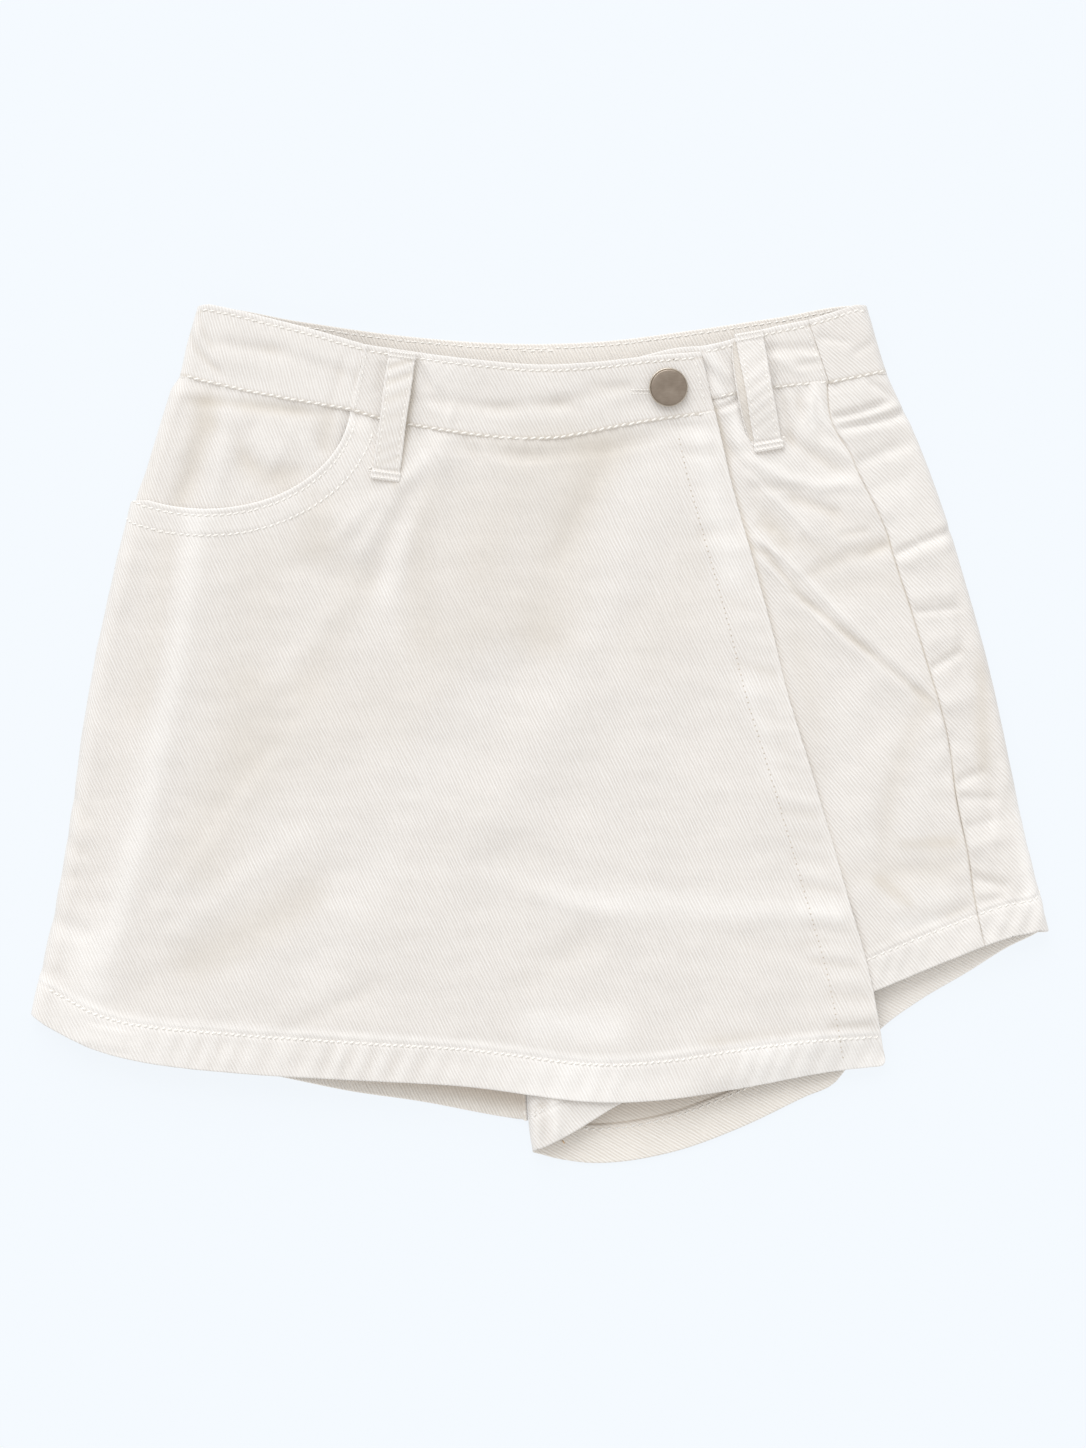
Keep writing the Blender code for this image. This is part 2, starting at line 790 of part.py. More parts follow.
def belt_loop(row, collection):
    """Strap that lies along the front and arches over the band."""
    run_x = row.foot_x - row.head_x
    run_y = row.foot_y - row.head_y
    length = math.hypot(run_x, run_y)
    side_x = -run_y / length
    side_y = run_x / length
    lift = row.lift + LOOP_CLEARANCE + CLOTH
    rows = []
    for along in shares(14):
        middle_x = row.head_x + run_x * along
        middle_y = row.head_y + run_y * along
        arch = row.arch * math.sin(math.pi * along) ** 2
        points = []
        for aside in (0.5, 0.0, -0.5):
            x = middle_x + side_x * LOOP_WIDTH * aside
            y = middle_y + side_y * LOOP_WIDTH * aside
            points.append((x, y, front_z(x, y) + lift + arch))
        rows.append(points)
    return sheet(row.name, rows, CLOTH, True, collection)


def build():
    """Clear the scene and make every piece."""
    for old in list(bpy.data.objects):
        bpy.data.objects.remove(old, do_unlink=True)
    collection = bpy.data.collections.new("wrap_skort")
    cutters = bpy.data.collections.new("cutters")
    bpy.context.scene.collection.children.link(collection)
    bpy.context.scene.collection.children.link(cutters)
    back_panel(-1, collection)
    back_panel(1, collection)
    front_right(collection)
    front_left(collection)
    hip_piece(collection)
    wrap_panel(collection)
    band_back(collection)
    band_under(collection)
    band_wrap(collection, cutters)
    button(collection)
    for row in LOOPS:
        belt_loop(row, collection)


build()
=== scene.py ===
"""Child's cotton twill wrap skort, laid flat on its back and buttoned: its finish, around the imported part.

+X is the wearer's left, +Y the waist, +Z up, and the floor is z = 0. Left and right are the wearer's.
Lengths in the tables and in the fields are millimetres, and MM turns them into metres.
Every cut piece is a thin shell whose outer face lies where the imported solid's outer face lies.
"""

import logging
import math
from dataclasses import dataclass, field
from enum import Enum, Flag
from functools import partial
from typing import Any, Callable, NamedTuple, Optional, Sequence

import bpy
import numpy as np
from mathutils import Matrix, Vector


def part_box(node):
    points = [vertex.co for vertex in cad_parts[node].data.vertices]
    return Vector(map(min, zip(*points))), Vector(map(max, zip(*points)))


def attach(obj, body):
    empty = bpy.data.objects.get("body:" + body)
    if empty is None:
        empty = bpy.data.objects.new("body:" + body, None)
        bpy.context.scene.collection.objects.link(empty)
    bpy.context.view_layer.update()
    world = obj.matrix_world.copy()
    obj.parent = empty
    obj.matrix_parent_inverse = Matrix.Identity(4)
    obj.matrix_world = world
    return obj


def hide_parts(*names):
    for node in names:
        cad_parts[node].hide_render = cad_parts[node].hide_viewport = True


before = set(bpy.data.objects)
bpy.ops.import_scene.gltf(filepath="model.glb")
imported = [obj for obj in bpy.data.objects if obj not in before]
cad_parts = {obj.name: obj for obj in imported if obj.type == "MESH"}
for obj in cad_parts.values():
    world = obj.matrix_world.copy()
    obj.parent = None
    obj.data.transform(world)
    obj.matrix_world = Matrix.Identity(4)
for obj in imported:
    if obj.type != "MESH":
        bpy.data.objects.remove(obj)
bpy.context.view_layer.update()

MM = 0.001
BODY = "root"
LOG = logging.getLogger("skort")

Array = np.ndarray
Edge = Callable[[Array], Array]


# --- Sizes, most of them shared with the part ---

GAP = 0.3
SEAM = 0.5
LEG_GAP = 0.9
LEGS_MEET = 0.35
LAYER = 1.5
CROWN = 0.9
CROTCH_Y = -62.0
CROTCH_BLEND = 34.0
CUFF_STEP = 11.0
ROLL = 0.5
HIP_END_X = -66.0
SCOOP_TUCK = 16.0
BACK_SEAM_TURN = math.radians(97.0)
FRONT_SEAM_TURN = math.radians(84.0)
HIP_END_TURN = math.radians(105.0)
PANEL_END_TURN = math.radians(120.0)
HIP_LIFT = LAYER + 0.2
PANEL_LIFT = 2.0 * LAYER + 0.3
PANEL_LIFT_AT_FREE_EDGE = LAYER + 0.4
BAND_WRAP_LIFT = 2.3
UNDER_BAND = 1.5
BUTTON_Y = 137.6
HOLE_Y = BUTTON_Y - 1.6
SCOOP_X = -133.0
SCOOP_Y = 131.0
SCOOP_WIDE = 57.5
SCOOP_DEEP = 41.6
MOUTH_END_X = -76.0
CREASE_FADE = 16.0
DEPTH = 1.6
SIDE_FADE = 14.0
EASE_START = -60.0
EASE_LENGTH = 60.0
CORNER_DROP = 5.4
CORNER_START = 7.0
CORNER_REACH = 24.0
CORNER_FROM_X = 36.0
CORNER_FADE = 30.0


class Section(NamedTuple):
    """Where the flattened tube's two side folds are, and how high it is, at one distance from the waist."""

    y: float
    right: float
    left: float
    height: float


class Across(NamedTuple):
    """Point of an edge that runs across the garment."""

    x: float
    y: float


class Down(NamedTuple):
    """Point of an edge that runs down the garment."""

    y: float
    x: float


class Crease(NamedTuple):
    """Soft ridge between two points, or a trough where the height is negative. It bows sideways by bow."""

    x0: float
    y0: float
    x1: float
    y1: float
    height: float
    width: float
    bow: float = 0.0


def mix(a: Any, b: Any, share: Any) -> Any:
    """Value a part of the way from a to b."""
    return a + (b - a) * share


class Curve:
    """Smooth function through (key, value) rows, straight past both ends."""

    def __init__(self, kind: Callable, *rows: tuple) -> None:
        """Sorts the rows and works out a slope at each.

        Args:
            kind: what the rows' two columns are, the key first.
            *rows: the points.
        """
        self.rows = table(kind, *rows)
        self.down = kind is Down
        self.keys, self.values = (np.array(part) for part in zip(*sorted(self.rows)))
        runs = np.diff(self.values) / np.diff(self.keys)
        self.slopes = np.concatenate([runs[:1], 0.5 * (runs[:-1] + runs[1:]), runs[-1:]])

    def __call__(self, key: Any) -> Array:
        """Values at keys of any shape.

        Args:
            key: one key or an array of them.

        Returns:
            The values, in the same shape.
        """
        key = np.asarray(key, float)
        k = np.clip(np.searchsorted(self.keys, key, side="right") - 1, 0, len(self.keys) - 2)
        span = self.keys[k + 1] - self.keys[k]
        t = np.clip((key - self.keys[k]) / span, 0.0, 1.0)
        value = mix(self.values[k], self.values[k + 1], t * t * (3.0 - 2.0 * t))
        value += self.slopes[k] * span * t * (1.0 - t) ** 2
        value -= self.slopes[k + 1] * span * t * t * (1.0 - t)
        below = np.minimum(key - self.keys[0], 0.0)
        above = np.maximum(key - self.keys[-1], 0.0)
        return value + self.slopes[0] * below + self.slopes[-1] * above

    def slope(self, key: Array) -> Array:
        """Slope at keys, over a step of 1."""
        return self(key + 0.5) - self(key - 0.5)

    def raised(self, key: Array, rise: Any) -> Array:
        """Line that runs at a distance above the curve, square to it."""
        return self(key) + rise * np.sqrt(1.0 + self.slope(key) ** 2)


def table(kind: Callable, *rows: tuple) -> tuple:
    """Table of rows whose columns are named by their kind."""
    return tuple(kind(*map(float, row)) for row in rows)


SECTIONS = table(
    Section, (172, -136.4, 131, 9.4), (156, -141, 135.6, 9.4), (143, -144, 139.8, 9.2), (120, -151.2, 150.4, 8.8),
    (92, -160.2, 161.2, 8.6), (60, -168, 171, 8.6), (28, -175, 180, 8.6), (-4, -180.4, 187, 8.6),
    (-36, -184.6, 193.6, 8.4), (-76, -192, 203.4, 8), (-114, -200.6, 212, 7.6), (-176, -214, 226, 7.4),
)
BACK_BAND_TOP = Curve(
    Across, (-137, 170.6), (-134, 171), (-95.6, 165), (-55.6, 159.4), (-12, 156.2), (24, 157), (64.4, 162),
    (96.4, 166.8), (128, 171.4), (131, 170.7),
)
BAND_TOP_RIGHT = Curve(
    Across, (-136.4, 170.9), (-134, 171.4), (-130, 170.9), (-110, 166.2), (-90, 161), (-69.2, 154.9),
)
BAND_TOP_LEFT = Curve(Across, (107.6, 165), (119, 168.6), (128, 171.3), (131, 170.7))
WRAP_BAND_TOP = Curve(
    Across, (-69.2, 154.9), (-50.8, 152.2), (-24, 148.8), (0.4, 147), (22, 147.9), (40.4, 150), (64.4, 152.2),
)
UNDER_BAND_TOP = Curve(
    Across, (-69.2, 154.3), (-24, 148.2), (0.4, 146.4), (36, 149.4), (54, 153.6), (69.2, 155.2), (90.4, 161.4),
    (107.6, 165),
)
BACK_BAND_SEAM = Curve(
    Across, (-144, 142.2), (-95.6, 137), (-55.6, 131.2), (-12, 128), (24, 128.8), (64.4, 133.8), (96.4, 138.6),
    (140, 143.8),
)
BAND_SEAM_RIGHT = Curve(Across, (-143.8, 142.6), (-124.4, 137.6), (-106.4, 133.8), (-74.6, 128.2))
BAND_SEAM_LEFT = Curve(Across, (116.2, 139.2), (127, 141.4), (139.8, 144.2))
WRAP_BAND_SEAM = Curve(
    Across, (-74.6, 128.2), (-64.8, 125.2), (-35.2, 119.6), (-9.2, 116.8), (8.4, 117.3), (32.4, 121.8), (48.4, 124.5),
    (70.4, 127.2),
)
UNDER_BAND_SEAM = Curve(
    Across, (-74.6, 128.6), (-36, 122), (-9, 119.4), (32, 125.6), (70, 133.2), (96.8, 137.6), (116.2, 139.4),
)
WRAP_HEM = Curve(
    Across, (-203.8, -113.4), (-191.6, -120.2), (-179.6, -126), (-160, -131.4), (-119.6, -136.2), (-80, -138.6),
    (-30.4, -141.4), (22.8, -147.8), (49.2, -147), (80.4, -142.6), (116, -136.2), (139.4, -133.6),
)
RIGHT_BACK_HEM = Curve(
    Across, (-200, -105), (-180, -120.6), (-150, -130.4), (-110.8, -137), (-75.2, -144.2), (-47.6, -148.2),
    (-15.6, -154.2), (-2, -156.2),
)
LEFT_FRONT_HEM = Curve(
    Across, (-2, -167.8), (10, -162.2), (32.8, -148.4), (80, -125), (132.8, -104.2), (161.6, -92.2), (188, -82.2),
    (200.5, -79.2), (204, -77.2),
)
LEFT_BACK_HEM = Curve(
    Across, (-2, -168.6), (6.4, -171), (24.4, -173), (53.6, -168.6), (80.4, -159), (106.8, -146.4), (119, -140.6),
    (125, -133), (136.8, -119.6), (153, -107.6), (172, -96.4), (188, -86.4), (200.5, -80.2), (204, -77.6),
)
JOIN_RIGHT = Curve(Down, (172, -65), (153.8, -69.6), (128.2, -74.9), (110, -78.4))
JOIN_LEFT = Curve(Down, (172, 105.2), (165, 107.6), (139.2, 116.2), (120, 122.6))
WRAP_BAND_END = Curve(Down, (156, 63.6), (144.2, 66.6), (134, 68.8), (120, 72.4))
FREE_EDGE = Curve(
    Down, (134, 68.6), (126, 70.8), (100.2, 76.8), (68.6, 85.6), (39.4, 93.6), (15.8, 99.4), (-15.8, 109),
    (-43.4, 117.2), (-71, 125), (-94.2, 131.6), (-134, 139.4),
)
SIDE_SEAM = Curve(
    Down, (142, 115), (134.6, 115.4), (127, 116.2), (120, 118.9), (112, 124.2), (103, 128), (88, 135.6), (79, 139.5),
    (71, 141.6), (48, 149), (26, 155.6), (8, 161), (-8, 164.4), (-26, 166.9), (-46, 171), (-67, 174.3), (-90, 179.4),
)
INSEAM = Curve(Down, (130, -1.6), (-62, -1.6), (-110, -3.2), (-145, -5.2), (-160, -4.2), (-175, -1.8))
SHARED_CREASES = table(
    Crease, (-38, 110, -53, 78, 0.7, 9), (-14, 46, -112, -80, 0.9, 13), (42, 44, -94, -112, 0.8, 15),
    (-136, 80, -172, -100, 0.8, 10), (-70, 60, -132, -30, -0.5, 12), (90, 73, 128, 38, 0.9, 9),
    (126, 40, 160, 14, 0.8, 9), (159, 13, 143, -12, 0.6, 9), (86, 104, 106, 82, 0.7, 9),
    (-129, 118, -139, 100, -0.5, 8), (118, 128, 140, 134, 0.4, 8), (-96, -112, 60, -126, 0.5, 9),
)


# --- Small maths ---


def smooth(value: Array) -> Array:
    """Smooth step from 0 to 1."""
    t = np.clip(value, 0.0, 1.0)
    return t * t * (3.0 - 2.0 * t)


def bell(value: Array, width: float) -> Array:
    """Bell of height 1 round zero, down to about a third at one width."""
    return np.exp(-((value / width) ** 2))


def distance_from(edge: Curve, key: Array, other: Array) -> Array:
    """Distance of points from an edge, positive where the edge's value is the smaller.

    Args:
        edge: the edge's curve.
        key: the points' coordinate along the edge.
        other: their coordinate across it.

    Returns:
        The distances, measured square to the edge.
    """
    return (other - edge(key)) / np.sqrt(1.0 + edge.slope(key) ** 2)


def creases(rows: Sequence[Crease], x: Array, y: Array) -> Array:
    """Height that a table of creases adds at points.

    Args:
        rows: the creases.
        x: the points' places across.
        y: their places up.

    Returns:
        The height at each point.
    """
    total = np.zeros(np.broadcast(x, y).shape)
    for row in rows:
        run_x = row.x1 - row.x0
        run_y = row.y1 - row.y0
        length = math.hypot(run_x, run_y)
        ahead = ((x - row.x0) * run_x + (y - row.y0) * run_y) / length
        aside = ((x - row.x0) * run_y - (y - row.y0) * run_x) / length
        middle = 1.0 - np.clip(2.0 * ahead / length - 1.0, -1.2, 1.2) ** 2
        fade = min(CREASE_FADE, 0.5 * length)
        ends = smooth(1.0 + ahead / fade) * smooth(1.0 + (length - ahead) / fade)
        total += row.height * ends * bell(aside - row.bow * middle, row.width)
    return total


def ripple(x: Array, y: Array, size: float, height: float, seed: int, flat: float = 1.0) -> Array:
    """Gentle unevenness of cloth that has been washed and smoothed by hand: a sum of slow waves.

    Args:
        x: the points' places across.
        y: their places up.
        size: the waves' usual length.
        height: their usual height.
        seed: which unevenness.
        flat: how many times longer the waves are across than up.

    Returns:
        The height at each point.
    """
    draw = np.random.default_rng(seed)
    total = np.zeros(np.broadcast(x, y).shape)
    waves = 18
    for _ in range(waves):
        turn = draw.uniform(0.0, math.tau)
        pace = math.tau / (size * draw.uniform(0.7, 1.8))
        phase = draw.uniform(0.0, math.tau)
        total += np.cos(pace * (x / flat * math.cos(turn) + y * math.sin(turn)) + phase)
    return height * total * math.sqrt(2.0 / waves)


class Roping(NamedTuple):
    """Puckers beside a seam: short slanting waves that die away from it."""

    pitch: float
    height: float
    reach: float
    slant: float
    seed: float

    def at(self, along_it: Array, off: Array) -> Array:
        """Height at points.

        Args:
            along_it: their place along the seam.
            off: their distance from its middle.

        Returns:
            The height at each point.
        """
        place = along_it + self.slant * off
        drift = 1.7 * np.sin(place / (2.3 * self.pitch) + self.seed)
        drift += 1.1 * np.sin(place / (0.9 * self.pitch) + 2.0 * self.seed)
        swell = 0.6 + 0.35 * np.sin(place / (3.7 * self.pitch) + 3.0 * self.seed)
        swell += 0.35 * np.sin(place / (1.3 * self.pitch) + 5.0 * self.seed)
        return self.height * swell * np.sin(math.tau * place / self.pitch + drift) * bell(off, self.reach)


class Fine(NamedTuple):
    """Stretch of an edge zone that needs a finer grid: its distance in from the edge, half-width and step."""

    centre: float
    half: float
    step: float


class Ends(Flag):
    """Ends of a row, or the first and last columns of a grid."""

    NONE = 0
    START = 1
    END = 2
    BOTH = 3


def stations(
    length: float, middle: float, start: Sequence[Fine] = (), end: Sequence[Fine] = (), rims: Ends = Ends.BOTH
) -> Array:
    """Shares from 0 to 1 along a length, closer together where the cloth needs it.

    Args:
        length: the length.
        middle: the usual step.
        start: the finer zones near the first end.
        end: the finer zones near the last end.
        rims: which ends are rims, where the cloth turns over.

    Returns:
        The shares.
    """

    def inwards(zones: Sequence[Fine], rim: bool) -> list[float]:
        """Distances from one end, as far as the middle.

        Args:
            zones: the finer zones near that end.
            rim: True where the cloth turns over there.

        Returns:
            The distances.
        """
        spots = [0.0, 0.07, 0.22, 0.45, 0.8, 1.3] if rim else [0.0]
        while spots[-1] < 0.5 * length:
            near = [zone.step for zone in zones if abs(spots[-1] + zone.step - zone.centre) <= zone.half]
            spots.append(spots[-1] + min([middle, *near]))
        return spots[:-1]

    first = inwards(start, Ends.START in rims)
    last = inwards(end, Ends.END in rims)
    return np.array(first + [length - spot for spot in reversed(last)]) / length


def beside(*grids: Array) -> Array:
    """One grid from several, side by side."""
    return np.concatenate(grids, axis=1)


def corner(across: Edge, down: Edge, y: float) -> tuple[float, float]:
    """Point where an edge that runs across meets an edge that runs down.

    Args:
        across: the edge that runs across, y from x.
        down: the edge that runs down, x from y.
        y: a height near the point.

    Returns:
        The point's x and y.
    """
    x = 0.0
    for _ in range(24):
        x = float(down(np.array(y)))
        y = float(across(np.array(x)))
    return x, y


def patch(top: Edge, bottom: Edge, right: Edge, left: Edge, columns: Array, rows: Array) -> tuple:
    """Grid between four edges, blended as a Coons patch.

    Args:
        top: the upper edge, y from x.
        bottom: the lower edge, y from x.
        right: the edge at the wearer's right, x from y.
        left: the edge at the wearer's left, x from y.
        columns: shares from right to left.
        rows: shares from the top down.

    Returns:
        The grid's x and y, each with a row for each share of rows.
    """
    top_right = corner(top, right, 0.0)
    top_left = corner(top, left, 0.0)
    low_right = corner(bottom, right, -100.0)
    low_left = corner(bottom, left, -100.0)
    u = columns[None, :]
    v = rows[:, None]
    top_x = mix(top_right[0], top_left[0], u)
    low_x = mix(low_right[0], low_left[0], u)
    right_y = mix(top_right[1], low_right[1], v)
    left_y = mix(top_left[1], low_left[1], v)
    ends_y = mix(mix(top_right[1], top_left[1], u), mix(low_right[1], low_left[1], u), v)
    x = mix(right(right_y), left(left_y), u)
    y = mix(top(top_x), bottom(low_x), v) + mix(right_y, left_y, u) - ends_y
    return x, y


# --- The garment's form ---


class Leg(Enum):
    """Which leg a panel belongs to, by the side of the centre line that it lies on."""

    NONE = 0
    RIGHT = -1
    LEFT = 1


class LaidForm:
    """The shorts' outer face when they lie flat.

    A point is given by s, which runs across the front from the wearer's right to left and goes on round each
    side fold and along the back as if the cloth were unrolled, and by y.
    """

    def __init__(self) -> None:
        """Reads the sections."""
        self.right_fold = Curve(Down, *((row.y, row.right) for row in SECTIONS))
        self.left_fold = Curve(Down, *((row.y, row.left) for row in SECTIONS))
        self.height = Curve(Down, *((row.y, row.height) for row in SECTIONS))

    def radius(self, y: Array) -> Array:
        """Radius of the side folds."""
        return 0.5 * self.height(y)

    def right_turn(self, y: Array) -> Array:
        """X where the front starts to turn over at the wearer's right."""
        return self.right_fold(y) + self.radius(y)

    def left_turn(self, y: Array) -> Array:
        """X where the front starts to turn over at the wearer's left."""
        return self.left_fold(y) - self.radius(y)

    def flatness(self, x: Array, y: Array) -> Array:
        """1 on the flat of the front, down to 0 where it starts to turn over at the sides."""
        right = smooth((x - self.right_turn(y)) / SIDE_FADE)
        return right * smooth((self.left_turn(y) - x) / SIDE_FADE)

    def front_z(self, x: Array, y: Array) -> Array:
        """Height of the front, with its crown and the creases that all its layers share."""
        return self.height(y) + self.flatness(x, y) * (CROWN + creases(SHARED_CREASES, x, y))

    def legs_apart(self, y: Array) -> Array:
        """Share of the way from one torso, 0, to two separate legs, 1."""
        return smooth((CROTCH_Y - y) / CROTCH_BLEND)

    def inner_turn(self, leg: Leg) -> Edge:
        """X where a leg's panel starts to turn in at the inseam, as a function of y.

        Args:
            leg: the leg.

        Returns:
            The function.
        """

        def turn_x(y: Array) -> Array:
            """X of the turn."""
            radius = self.radius(y)
            reach = mix(0.5 * math.pi * radius, radius + 0.5 * LEG_GAP, self.legs_apart(y))
            return INSEAM(y) + leg.value * reach

        return turn_x

    def back_s(self, x: Array, y: Array, leg: Leg) -> Array:
        """Unrolled places of points of the back.

        Args:
            x: the points' x, or their unrolled places, which this turns back to x.
            y: their places up.
            leg: LEFT where the places are counted round the left fold, else RIGHT.

        Returns:
            The unrolled places, or x.
        """
        turn = self.left_turn(y) if leg is Leg.LEFT else self.right_turn(y)
        side = 1.0 if leg is Leg.LEFT else -1.0
        return 2.0 * turn + side * math.pi * self.radius(y) - x

    def round_right(self, y: Array, base: float, turn: Array) -> tuple[Array, Array]:
        """Unrolled places, as s and y, of a layer's points round the right fold, from how far they have turned."""
        arc_s = self.right_turn(y) - (self.radius(y) + base) * turn
        return arc_s, y + 0.0 * arc_s

    def plan_x(self, s: Array, y: Array, base: float) -> Array:
        """X, from above, of unrolled points of the front or of the right fold down to its outermost point.

        Args:
            s: the points' unrolled places across.
            y: their places up.
            base: how far the layer lies outside the shorts' outer face at the fold.

        Returns:
            The x of each point.
        """
        past = np.maximum(self.right_turn(y) - s, 0.0)
        bend = self.radius(y) + base
        on_fold = self.right_turn(y) - bend * np.sin(np.minimum(past / bend, 0.5 * math.pi))
        return np.where(past > 0.0, on_fold, s)

    def place(self, s: Array, y: Array, out: Array, base: float, leg: Leg) -> Array:
        """Where unrolled points lie.

        Args:
            s: the points' unrolled places across.
            y: their places up.
            out: how far each lies outside the shorts' outer face.
            base: how far the layer lies outside it at the side folds.
            leg: the leg whose inseam the layer turns in to.

        Returns:
            The points, in millimetres, with x, y and z last.
        """
        s, y, out = np.broadcast_arrays(s, y, out)
        radius = self.radius(y)
        right = self.right_turn(y)
        left = self.left_turn(y)
        reach = radius + out
        bend = radius + base
        span = math.pi * bend
        past_right = right - s
        past_left = s - left
        second = past_right - span - (left - right)
        x = s.copy()
        z = self.front_z(s, y) + out
        for past, edge, side in ((past_right, right, -1.0), (past_left, left, 1.0)):
            on_fold = (past > 0.0) & (past < span)
            under = past >= span
            x = np.where(on_fold, edge + side * reach * np.sin(past / bend), x)
            z = np.where(on_fold, radius + reach * np.cos(past / bend), z)
            x = np.where(under, edge - side * (past - span), x)
            z = np.where(under, radius - reach, z)
        on_fold = (second > 0.0) & (second < span)
        above = second >= span
        over_x = left - (second - span)
        x = np.where(on_fold, left + reach * np.sin(second / bend), x)
        z = np.where(on_fold, radius - reach * np.cos(second / bend), z)
        x = np.where(above, over_x, x)
        z = np.where(above, self.front_z(over_x, y) + out, z)
        if leg is not Leg.NONE:
            x, z = self.turned_in(x, y, z, leg)
        return np.stack([x, y, z], axis=-1)

    def turned_in(self, x: Array, y: Array, z: Array, leg: Leg) -> tuple:
        """Moves the points past a leg's inner turn round to its inseam.

        Args:
            x: the points' places across, as if the panel stayed flat.
            y: their places up.
            z: their heights, as if it stayed flat.
            leg: the leg.

        Returns:
            The x and z of all the points.
        """
        radius = self.radius(y)
        quarter = 0.5 * math.pi * radius
        apart = self.legs_apart(y)
        past = leg.value * (self.inner_turn(leg)(y) - x)
        run = quarter - past
        angle = np.clip(run / radius, 0.0, 0.5 * math.pi)
        run_in_leg = radius * (1.0 - np.cos(angle)) + (LEGS_MEET if leg is Leg.LEFT else -LEGS_MEET)
        turned_x = INSEAM(y) + leg.value * mix(run, run_in_leg, apart)
        rise = mix(1.0, np.sin(angle), apart)
        turned = past > 0.0
        return np.where(turned, turned_x, x), np.where(turned, radius + (z - radius) * rise, z)


FORM = LaidForm()
RIGHT_FRONT_SEAM = Curve(Across, *BAND_SEAM_RIGHT.rows[:-1], *UNDER_BAND_SEAM.rows[:4])
HIP_SEAM = Curve(Across, *BAND_SEAM_RIGHT.rows[:-1], *WRAP_BAND_SEAM.rows[1:3])


def scoop_y(x: Array, tuck: float = 0.0) -> Array:
    """Lower edge of the pocket's mouth, or a line parallel to it and lower by tuck."""
    reach = (x - SCOOP_X) / (SCOOP_WIDE + tuck)
    return SCOOP_Y - (SCOOP_DEEP + tuck) * np.sqrt(np.maximum(0.0, 1.0 - reach * reach))


def scoop_distance(x: Array, y: Array) -> Array:
    """Distance outside the pocket's mouth: below its edge it is positive.

    Args:
        x: the points' places across.
        y: their places up.

    Returns:
        The distances, nearly square to the edge.
    """
    a = (x - SCOOP_X) / SCOOP_WIDE
    b = np.minimum(y - SCOOP_Y, 0.0) / SCOOP_DEEP
    size = np.sqrt(a * a + b * b) + 1e-6
    steep = np.sqrt((a / SCOOP_WIDE) ** 2 + (b / SCOOP_DEEP) ** 2) / size + 1e-6
    return (size - 1.0) / steep


def panel_lift(x: Array, y: Array) -> Array:
    """Lift of the wrap panel: lower towards its free edge, and dropping past the front of the left leg.

    Args:
        x: the points' places across.
        y: their places up.

    Returns:
        The lift at each point.
    """
    lift = mix(PANEL_LIFT, PANEL_LIFT_AT_FREE_EDGE, smooth((x - EASE_START) / EASE_LENGTH))
    past_hem = smooth((LEFT_FRONT_HEM(x) - CORNER_START - y) / CORNER_REACH)
    return lift - CORNER_DROP * past_hem * smooth((x - CORNER_FROM_X) / CORNER_FADE)


def band_lift(x: Array, y: Array) -> Array:
    """Lift of the waistband's front, from the right side fold to the wrap's own band."""
    run = (x - FORM.right_turn(y)) / (JOIN_RIGHT(y) - FORM.right_turn(y))
    return BAND_WRAP_LIFT * smooth(run)


# --- Finishes ---


def srgb(code: str) -> tuple[float, float, float, float]:
    """Linear colour from an sRGB hex code.

    Args:
        code: the code, such as "#EDE8E1".

    Returns:
        The linear red, green and blue, and an opacity of 1.
    """
    parts = [int(code[k : k + 2], 16) / 255.0 for k in (1, 3, 5)]
    linear = [c / 12.92 if c <= 0.04045 else ((c + 0.055) / 1.055) ** 2.4 for c in parts]
    return (*linear, 1.0)


def set_inputs(node: bpy.types.Node, inputs: dict) -> None:
    """Sets a node's inputs to plain values, or links them to other nodes.

    Args:
        node: the node.
        inputs: a value, an output socket or a node, meaning its first output, for each input. An input is
            named as it is in Blender, with _ for a space if need be, or by in0, in1 and so on for its place.
    """
    for name, value in inputs.items():
        key = int(name[2:]) if name[:2] == "in" and name[2:].isdigit() else name.replace("_", " ")
        if isinstance(value, bpy.types.Node):
            value = value.outputs[0]
        if isinstance(value, bpy.types.NodeSocket):
            node.id_data.links.new(value, node.inputs[key])
        else:
            node.inputs[key].default_value = value


def add_node(tree: bpy.types.NodeTree, kind: str, settings: Optional[dict] = None, **inputs: Any) -> bpy.types.Node:
    """Adds a node with its settings and links.

    Args:
        tree: the material's node tree.
        kind: the node's type, without the ShaderNode before it.
        settings: its own properties.
        **inputs: its inputs, as in set_inputs.

    Returns:
        The node.
    """
    node = tree.nodes.new("ShaderNode" + kind)
    for name, value in (settings or {}).items():
        setattr(node, name, value)
    set_inputs(node, inputs)
    return node


def new_material(name: str) -> tuple[bpy.types.Material, bpy.types.NodeTree, bpy.types.Node]:
    """Material with one Principled shader.

    Args:
        name: the material's name.

    Returns:
        The material, its tree and the shader.
    """
    material = bpy.data.materials.new(name)
    material.use_nodes = True
    tree = material.node_tree
    return material, tree, tree.nodes["Principled BSDF"]


def stops(tree: bpy.types.NodeTree, factor: Any, low: tuple, high: tuple) -> bpy.types.NodeSocket:
    """Adds a colour that runs from one to another.

    Args:
        tree: the material's node tree.
        factor: the output socket or node that runs from 0 to 1.
        low: the linear colour at 0.
        high: the linear colour at 1.

    Returns:
        The colour's output socket.
    """
    ramp = add_node(tree, "ValToRGB", Fac=factor)
    ramp.color_ramp.elements[0].color = low
    ramp.color_ramp.elements[1].color = high
    return ramp.outputs["Color"]


def wave_scale(period: float) -> float:
    """Scale of a wave texture whose bands, at scale 1, repeat every twentieth of a turn."""
    return math.tau / (20.0 * period)


